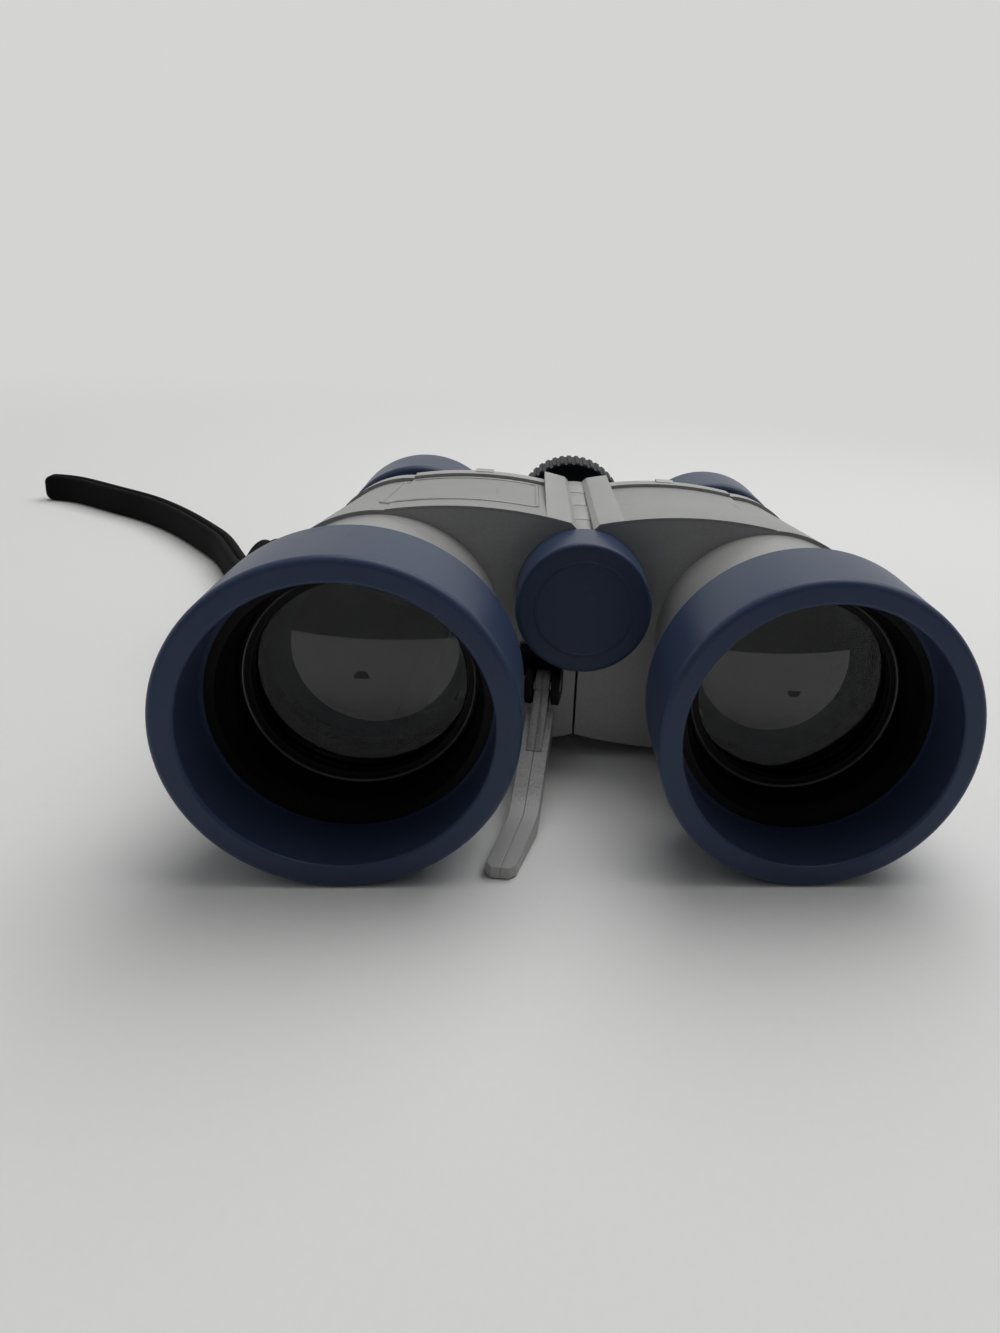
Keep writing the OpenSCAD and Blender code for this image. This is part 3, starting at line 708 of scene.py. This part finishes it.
def tube_faces(rings: int, around: int, looped: bool) -> list[Face]:
    """Faces of a tube whose points are listed ring by ring.

    Args:
        rings: number of rings.
        around: number of points in a ring.
        looped: whether the last ring joins the first. Otherwise both ends are closed.

    Returns:
        The faces.
    """
    faces: list[Face] = [] if looped else [tuple(range(around))]
    for ring in range(rings if looped else rings - 1):
        here = ring * around
        there = (ring + 1) % rings * around
        for k in range(around):
            after = (k + 1) % around
            faces.append((here + k, there + k, there + after, here + after))
    if not looped:
        faces.append(tuple((rings - 1) * around + k for k in reversed(range(around))))
    return faces


def lathe(profile: Sequence[FlatPoint], centre: FlatPoint, around: int = 96) -> MeshParts:
    """Turn a closed profile about an axis along Y.

    Args:
        profile: points as radius and y.
        centre: x and z of the axis.
        around: number of segments.

    Returns:
        Points and faces.
    """
    x, z = centre
    verts = [(x + r * cos, y, z + r * sin) for cos, sin in unit_circle(around) for r, y in profile]
    return verts, tube_faces(around, len(profile), looped=True)


def sweep(line: Sequence[Vector], section: Sequence[FlatPoint], closed: bool) -> MeshParts:
    """Draw a section along a line, upright.

    Args:
        line: points along the line.
        section: points as distance across and up.
        closed: whether the line returns to its start.

    Returns:
        Points and faces.
    """
    count = len(line)
    verts: list[Point] = []
    for i, point in enumerate(line):
        ahead = line[(i + 1) % count] if closed else line[min(i + 1, count - 1)]
        behind = line[i - 1] if closed else line[max(i - 1, 0)]
        across = (ahead - behind).cross(UP).normalized()
        verts += [tuple(point + a * across + u * UP) for a, u in section]
    return verts, tube_faces(count, len(section), looped=closed)


def smooth_line(knots: Sequence[Vector], steps: int) -> list[Vector]:
    """Smooth curve through points.

    Args:
        knots: the points.
        steps: steps between two points.

    Returns:
        Points along the curve.
    """
    last = len(knots) - 1
    line = []
    for i in range(last):
        a, b, c, d = (knots[min(max(i + k, 0), last)] for k in (-1, 0, 1, 2))
        for n in range(steps):
            t = n / steps
            bend = 2 * a - 5 * b + 4 * c - d
            twist = 3 * b - a - 3 * c + d
            line.append(0.5 * (2 * b + (c - a) * t + bend * t**2 + twist * t**3))
    line.append(knots[-1])
    return line


def line_length(line: Sequence[Vector]) -> float:
    """Length of a line through points."""
    return sum((b - a).length for a, b in zip(line, line[1:]))


@dataclass(frozen=True)
class Bead:
    """A raised bead: half an oval above the surface, and a flat foot sunk below it."""

    width: float
    height: float
    sink: float = 0.1 * MM
    steps: int = 6

    def section(self) -> list[FlatPoint]:
        """Outline of the bead.

        Returns:
            Points as distance across and up.
        """
        half = self.width / 2
        arc = [math.pi * i / self.steps for i in range(self.steps + 1)]
        oval = [(half * math.cos(a), self.height * math.sin(a)) for a in arc]
        return [(half, -self.sink), *oval, (-half, -self.sink)]

    def round_front(self, node: str, inset: float = 0.0) -> MeshParts:
        """Bead round the front face of a node that is round about Y.

        Args:
            node: the node's name.
            inset: how far the bead runs inside the node's edge.

        Returns:
            Points and faces.
        """
        low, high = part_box(node)
        middle = (low + high) / 2
        radius = (high.x - low.x) / 2 - inset
        profile = [(radius + across, low.y - up) for across, up in self.section()]
        return lathe(profile, (middle.x, middle.z))


class Workshop:
    """The loaded frame, the finishes, and what makes and dresses pieces."""

    WELD_DISTANCE = 0.002 * MM
    SOFT_STEPS = 3
    SOFT_ANGLE = math.radians(40)
    RAY_HEIGHT = 1.0

    def __init__(self, frame: dict[str, Any]) -> None:
        """Keep the frame and build each finish once.
        """
        self.frame = frame
        self.nodes: dict[str, bpy.types.Object] = frame["nodes"]
        self.materials = {slot: finish.material() for slot, finish in FINISHES.items()}
        self.rim_material = RIM_FINISH.material()

    def dress(self, piece: bpy.types.Object, slot: Slot) -> None:
        """Give a piece one finish all over.

        Args:
            piece: a new piece or a CAD node's object.
            slot: the record's slot of that finish.
        """
        piece.data.materials.clear()
        piece.data.materials.append(self.materials[slot])

    def dress_node(self, node: str, slot: Slot, soften: float = 0.0) -> None:
        """Give a CAD node its finish.

        Args:
            node: the node's name.
            slot: the record's slot.
            soften: width of the rounding along its edges, or 0 for none.
        """
        piece = self.nodes[node]
        self.dress(piece, slot)
        if soften:
            self._soften(piece, soften)
        LOG.info("dressed %s as %s", node, slot.value)

    def _soften(self, piece: bpy.types.Object, width: float) -> None:
        """Join a piece's split points and round its edges.

        Args:
            piece: the piece.
            width: width of the rounding.
        """
        weld = piece.modifiers.new("weld", "WELD")
        weld.merge_threshold = self.WELD_DISTANCE
        bevel = piece.modifiers.new("soft_edges", "BEVEL")
        bevel.width = width
        bevel.segments = self.SOFT_STEPS
        bevel.limit_method = "ANGLE"
        bevel.angle_limit = self.SOFT_ANGLE
        bevel.harden_normals = True
        bevel.use_clamp_overlap = True

    def piece(
        self, name: str, parts: MeshParts, body: str, slot: Slot, sharp: float = math.radians(35)
    ) -> bpy.types.Object:
        """Make a smooth-shaded mesh piece that rides on a body.

        Args:
            name: the piece's name.
            parts: its points, in the frame of the part, and its faces.
            body: the CAD body that it rides on.
            slot: the record's slot of its finish.
            sharp: angle from which an edge stays sharp.

        Returns:
            The new object.
        """
        mesh = bpy.data.meshes.new(name)
        mesh.from_pydata(parts[0], [], parts[1])
        mesh.validate()
        self._turn_outwards(mesh)
        mesh.shade_smooth()
        mesh.set_sharp_from_angle(angle=sharp)
        made = add_to_scene(name, mesh)
        self.dress(made, slot)
        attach(made, body)
        LOG.info("made %s on %s", name, body)
        return made

    @staticmethod
    def _turn_outwards(mesh: bpy.types.Mesh) -> None:
        """Turn all faces of a mesh outwards.

        Args:
            mesh: the mesh.
        """
        work = bmesh.new()
        work.from_mesh(mesh)
        bmesh.ops.recalc_face_normals(work, faces=work.faces)
        work.to_mesh(mesh)
        work.free()

    def top_of(self, node: str, x: float, y: float) -> Vector:
        """Point on a node's upper surface at x and y.

        Args:
            node: the node's name.
            x: place across.
            y: place along.

        Returns:
            The point, or one level with the node's top where the surface is missed.
        """
        hit, place, _, _ = self.nodes[node].ray_cast(Vector((x, y, self.RAY_HEIGHT)), -UP)
        return Vector((x, y, place.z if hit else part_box(node)[1].z))

    def mount(self, name: str) -> Vector:
        """Place of one of the record's mounts."""
        return next(Vector(m["pos_m"]) for m in self.frame["record"]["mounts"] if m["name"] == name)


@dataclass
class Studio:
    """Camera, floor, backdrop and soft light."""

    eye: Point = (-9.66 * MM, -169.21 * MM, 57.32 * MM)
    heading: float = math.radians(8.543)
    tilt: float = math.radians(17.429)
    roll: float = math.radians(5.048)
    focal_px: float = 946.27
    centre_px: FlatPoint = (660.0, 590.0)
    sensor: float = 36.0
    nearest: float = 5.0 * MM
    floor_half: float = 4.0
    cove_y: float = 1.0
    cove_r: float = 0.5
    cove_steps: int = 15
    wall_top: float = 2.4
    key_place: Point = (0.2, 0.25, 0.85)
    key_aim: Point = (0.0, 0.0, 20.0 * MM)
    key_size: float = 0.9
    key_power: float = 6.4
    front_light: float = 0.06
    back_light: float = 0.32
    front_tone: float = 0.07
    back_tone: float = 0.64
    fade_rise: float = 0.7
    fade_half: float = 0.5

    def build(self, axis_z: float) -> None:
        """Make the camera, the stage and the light.

        Args:
            axis_z: height of the barrel axes, from which the camera's height is measured.
        """
        self._camera(axis_z)
        self._paper()
        self._lamp()
        self._world()
        bpy.context.scene.view_settings.view_transform = "Standard"

    def _camera(self, axis_z: float) -> None:
        """Place the camera where the photograph was taken from.

        Args:
            axis_z: height of the barrel axes.
        """
        data = bpy.data.cameras.new("camera")
        data.sensor_fit = "AUTO"
        data.sensor_width = self.sensor
        data.lens = self.focal_px * self.sensor / PHOTO_HEIGHT
        data.shift_x = (PHOTO_WIDTH / 2 - self.centre_px[0]) / PHOTO_HEIGHT
        data.shift_y = (self.centre_px[1] - PHOTO_HEIGHT / 2) / PHOTO_HEIGHT
        data.clip_start = self.nearest
        camera = add_to_scene("camera", data)
        turn = (
            Matrix.Rotation(-self.heading, 4, "Z")
            @ Matrix.Rotation(math.pi / 2 - self.tilt, 4, "X")
            @ Matrix.Rotation(self.roll, 4, "Z")
        )
        camera.matrix_world = Matrix.Translation(Vector(self.eye) + axis_z * UP) @ turn
        bpy.context.scene.camera = camera

    def _paper(self) -> None:
        """Make the floor that curves up into the backdrop."""
        arc = [math.pi / 2 * i / self.cove_steps for i in range(self.cove_steps + 1)]
        cove = [(self.cove_y + self.cove_r * math.sin(a), self.cove_r * (1 - math.cos(a))) for a in arc]
        profile = [(-self.floor_half, 0.0), *cove, (self.cove_y + self.cove_r, self.wall_top)]
        verts = [(x, y, z) for y, z in profile for x in (-self.floor_half, self.floor_half)]
        faces = [(2 * i, 2 * i + 1, 2 * i + 3, 2 * i + 2) for i in range(len(profile) - 1)]
        mesh = bpy.data.meshes.new("studio_paper")
        mesh.from_pydata(verts, [], faces)
        mesh.shade_smooth()
        paper = add_to_scene("studio_paper", mesh)
        mesh.materials.append(StudioPaper("studio_paper").material())

    def _lamp(self) -> None:
        """Hang one large soft lamp above and behind the object."""
        data = bpy.data.lights.new("soft_key", "AREA")
        data.shape = "SQUARE"
        data.size = self.key_size
        data.energy = self.key_power
        lamp = add_to_scene("soft_key", data)
        lamp.location = self.key_place
        aim = Vector(self.key_aim) - Vector(self.key_place)
        lamp.rotation_mode = "QUATERNION"
        lamp.rotation_quaternion = aim.to_track_quat("-Z", "Y")

    def _world(self) -> None:
        """Fill the room with soft light, less of it from the front."""
        world = bpy.data.worlds.new("studio_light")
        bpy.context.scene.world = world
        world.use_nodes = True
        room = Graph(world.node_tree)
        _, along, up = room.parts(room.node("ShaderNodeTexCoord").outputs["Generated"])
        share = room.step(along + self.fade_rise * up, -self.fade_half, self.fade_half)
        light = room.blend(share, (self.front_light,) * 3, (self.back_light,) * 3)
        pale = room.math("MAXIMUM", share, room.ray("Camera"))
        shown = room.blend(pale, (self.front_tone,) * 3, (self.back_tone,) * 3)
        colour = room.blend(room.seen(), light, shown)
        background = room.node("ShaderNodeBackground", inputs={"Color": colour})
        room.node("ShaderNodeOutputWorld", inputs={"Surface": background.outputs[0]})


@dataclass
class Strap:
    """The woven wrist strap, folded double and standing on its edge, and the clamp that holds its ends.

    Its middle line beyond the clamp is given by points in millimetres, with x and y from the clamp's face:
    those on the way down to the table have their height as well, and the rest lie flat on it.
    """

    shop: Workshop
    height: float = 8.2 * MM
    layer: float = 2.2 * MM
    gap: float = 0.2 * MM
    reach: float = 9.0 * MM
    turn: float = math.radians(60)
    lead: float = 4.0 * MM
    steps: int = 22
    edge_steps: int = 10
    face_steps: int = 10
    crease_angle: float = math.radians(168)
    rib_pitch: float = 1.3 * MM
    rib_slant: float = 0.8
    rib_depth: float = 0.14 * MM
    tip_corner: float = 3.0 * MM
    tip_thin: float = 0.1414
    clamp_edge: float = 0.5 * MM
    sharp: float = math.radians(60)
    floor: float = 4.2 * MM
    down_mm: Sequence[Point] = (
        (-4.4, 8.0, 20.8), (-6.8, 13.0, 18.8), (-9.4, 18.6, 16.0), (-12.0, 24.6, 12.8),
        (-14.8, 30.8, 9.6), (-17.6, 37.0, 7.0), (-20.6, 43.4, 5.2),
    )
    flat_mm: Sequence[FlatPoint] = (
        (-23.8, 50.0), (-27.2, 57.0), (-31.0, 65.0), (-35.2, 72.6), (-40.7, 80.4), (-46.4, 88.0),
        (-52.0, 95.0), (-57.5, 101.2), (-63.0, 106.8), (-68.0, 111.2), (-72.8, 114.8), (-77.4, 118.0),
        (-82.0, 121.2), (-87.0, 124.8), (-92.0, 128.2), (-97.0, 131.0), (-102.0, 132.2), (-106.4, 132.2),
    )

    def build(self) -> None:
        """Dress the clamp and lay the strap."""
        self.shop.dress_node("strap_clamp", Slot.BLACK, soften=self.clamp_edge)
        line = self._route()
        strap = self.shop.piece("wrist_strap", self._band(line), "left_half", Slot.CORD, self.sharp)
        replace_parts(strap, "strap_cord")
        length = line_length(line)
        LOG.info("strap is %.3f m long", length)

    def _route(self) -> list[Vector]:
        """Smooth line from the clamp's face to the folded end.

        Returns:
            Points along the strap, close together.
        """
        eye = self.shop.mount("right_strap_eye")
        way = Vector((-math.cos(self.turn), math.sin(self.turn), 0.0))
        face = Vector((-eye.x, eye.y, 0.0)) + self.reach * way
        start = face + eye.z * UP
        down = [face + Vector((MM * x, MM * y, MM * z)) for x, y, z in self.down_mm]
        flat = [face + Vector((MM * x, MM * y, self.floor)) for x, y in self.flat_mm]
        return smooth_line([start, start + self.lead * way, *down, *flat], self.steps)

    def _outline(self) -> list[FlatPoint]:
        """Section of the doubled band: rounded edges, a crease between the layers and two woven faces.

        Returns:
            Points as distance across and up, in order round the section.
        """
        edge_r = self.layer / 2
        middle = edge_r + self.gap / 2
        straight = self.height / 2 - edge_r
        turns = [self.crease_angle * i / self.edge_steps for i in range(self.edge_steps + 1)]
        arc = [(middle + edge_r * math.cos(a), straight + edge_r * math.sin(a)) for a in turns]
        face = [straight * (1 - 2 * i / self.face_steps) for i in range(1, self.face_steps)]
        half = arc + [(-a, u) for a, u in reversed(arc)] + [(-middle - edge_r, u) for u in face]
        return half + [(-a, -u) for a, u in half]

    def _band(self, line: list[Vector]) -> MeshParts:
        """Doubled band along the route, with slanted ribs of weaving on both faces.

        Args:
            line: points along the strap.

        Returns:
            Its points and faces.
        """
        outline = self._outline()
        middle = (self.layer + self.gap) / 2
        verts: list[Point] = []
        count = len(line)
        total = line_length(line)
        along = 0.0
        for i, centre in enumerate(line):
            ahead = line[min(i + 1, count - 1)]
            behind = line[max(i - 1, 0)]
            along += (centre - behind).length
            heading = (ahead - behind).normalized()
            side = heading.cross(UP).normalized()
            up = side.cross(heading)
            narrow, low = self._tip(max(0.0, total - along))
            for across, rise in outline:
                woven = max(0.0, 2 * (abs(across) - middle) / self.layer)
                rib = woven * self.rib_depth * self._rib(rise, along)
                reach = math.copysign(abs(across) - rib, across)
                verts.append(tuple(centre + narrow * reach * side + low * rise * up))
        return verts, tube_faces(count, len(outline), looped=False)

    def _tip(self, left: float) -> FlatPoint:
        """How far the band narrows towards its folded end.

        Args:
            left: distance from the end.

        Returns:
            Share of the full size across and up.
        """
        fold_r = self.layer + self.gap / 2
        bent = max(0.0, 1 - left / fold_r)
        short = max(0.0, self.tip_corner - left)
        drawn = self.tip_corner - math.sqrt(self.tip_corner**2 - short**2)
        return math.sqrt(max(1 - bent**2, self.tip_thin**2)), 1 - 2 * drawn / self.height

    def _rib(self, rise: float, along: float) -> float:
        """Depth of the weave at one place.

        Args:
            rise: height above the band's middle line.
            along: distance along the band.

        Returns:
            0 on top of a rib, 1 between ribs.
        """
        phase = math.tau * (along + self.rib_slant * abs(rise)) / self.rib_pitch
        return 0.5 - 0.5 * math.cos(phase)


@dataclass
class HalfPart:
    """A sub-assembly of one half."""

    shop: Workshop
    side: Side

    def dress(self, name: str, slot: Slot, soften: float = 0.0) -> None:
        """Give this side's node of a name its finish."""
        self.shop.dress_node(self.side.node(name), slot, soften)

    def add(self, name: str, parts: MeshParts, slot: Slot) -> bpy.types.Object:
        """Make this side's piece of a name, which rides on this half."""
        return self.shop.piece(self.side.node(name), parts, self.side.node("half"), slot)


@dataclass
class Housing(HalfPart):
    """Shells, top panel and screws of one half."""

    top_edge: float = 0.35 * MM
    bottom_edge: float = 0.3 * MM
    frame_in: float = 8.1 * MM
    frame_out: float = 34.5 * MM
    frame_front: float = -8.0 * MM
    frame_rear: float = 21.5 * MM
    frame_corner: float = 1.6 * MM
    frame_step: float = 1.2 * MM
    frame_bead: Bead = Bead(0.8 * MM, 0.28 * MM)
    corner_steps: int = 6
    tab_in: float = 17.0 * MM
    tab_out: float = 20.6 * MM
    tab_steps: int = 6
    tab: Bead = Bead(2.4 * MM, 0.5 * MM, sink=0.6 * MM, steps=10)
    head_t: float = 2.0 * MM
    head_bevel: float = 0.3 * MM
    head_segments: int = 48
    shank_r: float = 1.5 * MM
    slot_arm: float = 1.7 * MM
    slot_width: float = 0.6 * MM
    slot_depth: float = 1.1 * MM

    def build(self) -> None:
        """Dress the housing's pieces and add the raised frame, the rear tab and the screws."""
        self.dress("top_shell", Slot.SHELL, soften=self.top_edge)
        self.dress("bottom_shell", Slot.SHELL, soften=self.bottom_edge)
        self.dress("top_panel", Slot.PANEL)
        if self.side is Side.LEFT:
            self._panel_frame()
        self._rear_tab()
        self._screws()

    def _panel_frame(self) -> None:
        """Raised bead round the bare plate on the top panel."""
        node = self.side.node("top_panel")
        r = self.frame_corner
        left, right = sorted(self.side.sign * x for x in (self.frame_in, self.frame_out))
        front, rear = self.frame_front + r, self.frame_rear - r
        centres = ((right - r, rear), (left + r, rear), (left + r, front), (right - r, front))
        ring: list[FlatPoint] = []
        for corner, (x, y) in enumerate(centres):
            for step in range(self.corner_steps + 1):
                angle = math.pi / 2 * (corner + step / self.corner_steps)
                ring.append((x + r * math.cos(angle), y + r * math.sin(angle)))
        line = [self.shop.top_of(node, x, y) for x, y in self._densified(ring)]
        parts = sweep(line, self.frame_bead.section(), closed=True)
        self.add("panel_frame", parts, Slot.PANEL)

    def _densified(self, ring: list[FlatPoint]) -> list[FlatPoint]:
        """Add points to the long sides of a ring, so that it can follow a curved surface.

        Args:
            ring: points of a closed ring.

        Returns:
            The ring with more points.
        """
        dense = []
        for (x0, y0), (x1, y1) in zip(ring, ring[1:] + ring[:1]):
            parts = max(1, math.ceil(math.hypot(x1 - x0, y1 - y0) / self.frame_step))
            dense += [(x0 + (x1 - x0) * n / parts, y0 + (y1 - y0) * n / parts) for n in range(parts)]
        return dense

    def _rear_tab(self) -> None:
        """Small catch that stands up from the rear rim of the top shell."""
        node = self.side.node("top_shell")
        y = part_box(node)[1].y - self.tab.width / 2
        pitch = (self.tab_out - self.tab_in) / self.tab_steps
        spots = [self.side.sign * (self.tab_in + pitch * i) for i in range(self.tab_steps + 1)]
        parts = sweep([self.shop.top_of(node, x, y) for x in spots], self.tab.section(), closed=False)
        self.add("rear_tab", parts, Slot.SHELL)

    def _screws(self) -> None:
        """Screws with cross slots in their heads, in place of the plain ones."""
        node = self.side.node("screws")
        low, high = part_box(node)
        head_r = (high.x - low.x) / 2
        work = bmesh.new()
        for y in (low.y + head_r, high.y - head_r):
            self._screw(work, Vector((low.x + head_r, y, low.z)), head_r, high.z - low.z)
        work.verts.index_update()
        verts = [tuple(v.co) for v in work.verts]
        faces = [tuple(v.index for v in face.verts) for face in work.faces]
        work.free()
        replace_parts(self.add("cross_screws", (verts, faces), Slot.STEEL), node)

    def _screw(self, work: bmesh.types.BMesh, foot: Vector, head_r: float, length: float) -> None:
        """Add one screw.

        Args:
            work: the mesh under construction.
            foot: middle of the underside of its head.
            head_r: radius of its head.
            length: its whole length.
        """
        profile = (
            (head_r - self.head_bevel, 0.0),
            (head_r, self.head_bevel),
            (head_r, self.head_t),
            (self.shank_r, self.head_t),
            (self.shank_r, length),
        )
        circle = unit_circle(self.head_segments)
        loops = [[work.verts.new(foot + Vector((r * x, r * y, z))) for x, y in circle] for r, z in profile]
        for lower, upper in zip(loops, loops[1:]):
            self._wall(work, lower, upper)
        work.faces.new(loops[-1])
        cross = self._cross()
        rim = [work.verts.new(foot + Vector((x, y, 0.0))) for x, y in cross]
        floor = [work.verts.new(foot + Vector((x, y, self.slot_depth))) for x, y in cross]
        self._wall(work, rim, floor)
        work.faces.new(floor)
        edges = [work.edges.get((loop[k - 1], loop[k])) for loop in (rim, loops[0]) for k in range(len(loop))]
        bmesh.ops.triangle_fill(work, edges=edges, use_beauty=True)

    def _cross(self) -> list[FlatPoint]:
        """Outline of the cross slot.

        Returns:
            Points as x and y from its middle.
        """
        arm, half = self.slot_arm, self.slot_width / 2
        quarter = [(arm, half), (half, half), (half, arm)]
        cross: list[FlatPoint] = []
        for _ in range(4):
            cross += quarter
            quarter = [(-y, x) for x, y in quarter]
        return cross

    @staticmethod
    def _wall(
        work: bmesh.types.BMesh, lower: list[bmesh.types.BMVert], upper: list[bmesh.types.BMVert]
    ) -> None:
        """Join two loops of points by a wall.

        Args:
            work: the mesh under construction.
            lower: points of one loop.
            upper: as many points of the other loop.
        """
        for k in range(len(lower)):
            work.faces.new((lower[k - 1], lower[k], upper[k], upper[k - 1]))


@dataclass
class Objective(HalfPart):
    """Barrel, hood, lens cell, lens and lens ring of one half."""

    ring_edge: float = 0.3 * MM
    rim: Bead = Bead(0.5 * MM, 0.35 * MM)
    rim_inset: float = 0.7 * MM

    def build(self) -> None:
        """Dress the objective's pieces and add the polished rim round the lens."""
        self.dress("barrel", Slot.BARREL)
        self.dress("hood", Slot.NAVY)
        self.dress("lens_cell", Slot.BLACK)
        self.dress("objective_lens", Slot.GLASS)
        self.dress("lens_ring", Slot.BLACK, soften=self.ring_edge)
        self._lens_rim()

    def _lens_rim(self) -> None:
        """Fine polished bead on the front of the lens ring."""
        parts = self.rim.round_front(self.side.node("lens_ring"), self.rim_inset)
        self.add("lens_rim", parts, Slot.BLACK).data.materials[0] = self.shop.rim_material


@dataclass
class Eyepiece(HalfPart):
    """Guide collar, tube, eyecup, lens, ring and bridge arm of one half."""

    guide_edge: float = 0.4 * MM
    ring_edge: float = 0.3 * MM
    arm_edge: float = 0.3 * MM

    def build(self) -> None:
        """Dress the eyepiece's pieces."""
        self.dress("eyepiece_guide", Slot.BARREL, soften=self.guide_edge)
        self.dress("eyepiece_tube", Slot.BARREL)
        self.dress("eyecup", Slot.NAVY)
        self.dress("eye_lens", Slot.GLASS)
        self.dress("eye_ring", Slot.BLACK, soften=self.ring_edge)
        self.dress("bridge_arm", Slot.SHELL, soften=self.arm_edge)


@dataclass
class Centre:
    """Hinge tube, hinge cap, focus wheel and focus screw."""

    shop: Workshop
    cap_bead: Bead = Bead(0.5 * MM, 0.16 * MM)
    thread_starts: int = 4
    thread_pitch: float = 1.5 * MM
    thread_depth: float = 0.45 * MM
    thread_around: int = 64
    thread_step: float = 0.25 * MM
    crest_end: float = 0.1875
    root_start: float = 0.8125
    rod_r: float = 3.0 * MM
    rod_chamfer: float = 0.4 * MM
    collar_t: float = 1.4 * MM
    collar_gap: float = 0.35 * MM

    def build(self) -> None:
        """Dress the pieces on the hinge axis, and add the cap's ring and the screw's thread."""
        self.shop.dress_node("hinge_tube", Slot.STEEL)
        self.shop.dress_node("hinge_cap", Slot.NAVY)
        self.shop.dress_node("hinge_cap_disc", Slot.NAVY)
        self.shop.dress_node("focus_wheel", Slot.WHEEL)
        self.shop.piece("cap_ring", self.cap_bead.round_front("hinge_cap_disc"), "left_half", Slot.NAVY)
        self._threaded_screw()

    def _threaded_screw(self) -> None:
        """Focus screw with its steep thread, in place of the plain rod."""
        low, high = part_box("focus_screw")
        middle = (low + high) / 2
        collar_r = (high.x - low.x) / 2
        collar_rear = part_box("left_bridge_arm")[0].y - self.collar_gap
        collar_front = collar_rear - self.collar_t
        reach = collar_front - low.y
        steps = round(reach / self.thread_step)
        stations = [(low.y + reach * i / steps, self.rod_r, self.thread_depth) for i in range(steps + 1)]
        stations += [
            (collar_front, collar_r, 0.0),
            (collar_rear, collar_r, 0.0),
            (collar_rear, self.rod_r, 0.0),
            (high.y - self.rod_chamfer, self.rod_r, 0.0),
            (high.y, self.rod_r - self.rod_chamfer, 0.0),
        ]
        verts: list[Point] = []
        for y, outer, depth in stations:
            for k in range(self.thread_around):
                angle = math.tau * k / self.thread_around
                radius = outer - depth * self._flank(angle, y)
                verts.append((middle.x + radius * math.cos(angle), y, middle.z + radius * math.sin(angle)))
        faces = tube_faces(len(stations), self.thread_around, looped=False)
        screw = self.shop.piece("threaded_screw", (verts, faces), "focus_wheel", Slot.STEEL)
        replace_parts(screw, "focus_screw")

    def _flank(self, angle: float, y: float) -> float:
        """Depth of the thread at one place.

        Args:
            angle: angle round the screw.
            y: place along the screw.

        Returns:
            0 on a crest, 1 in a root.
        """
        turn = self.thread_starts * angle / math.tau - y / self.thread_pitch
        saw = abs(2 * (turn - math.floor(turn)) - 1)
        return min(1.0, max(0.0, (saw - self.crest_end) / (self.root_start - self.crest_end)))


@dataclass
class StandLeg:
    """The black bracket, its pin and the two halves of the silver leg."""

    shop: Workshop
    bracket_edge: float = 0.25 * MM
    leg_edge: float = 0.3 * MM

    def build(self) -> None:
        """Dress the leg's pieces."""
        self.shop.dress_node("leg_bracket", Slot.BLACK, soften=self.bracket_edge)
        self.shop.dress_node("leg_pin", Slot.STEEL)
        self.shop.dress_node("leg_inner_half", Slot.LEG, soften=self.leg_edge)
        self.shop.dress_node("leg_outer_half", Slot.LEG, soften=self.leg_edge)


def main() -> None:
    """Build the studio and dress every sub-assembly."""
    logging.basicConfig(level=logging.INFO, format="%(name)s: %(message)s")
    shop = Workshop(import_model())
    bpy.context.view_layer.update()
    low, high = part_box("left_barrel")
    Studio().build((low.z + high.z) / 2)
    Strap(shop).build()
    for side in Side:
        Housing(shop, side).build()
        Objective(shop, side).build()
        Eyepiece(shop, side).build()
    Centre(shop).build()
    StandLeg(shop).build()


if __name__ == "__main__":
    main()
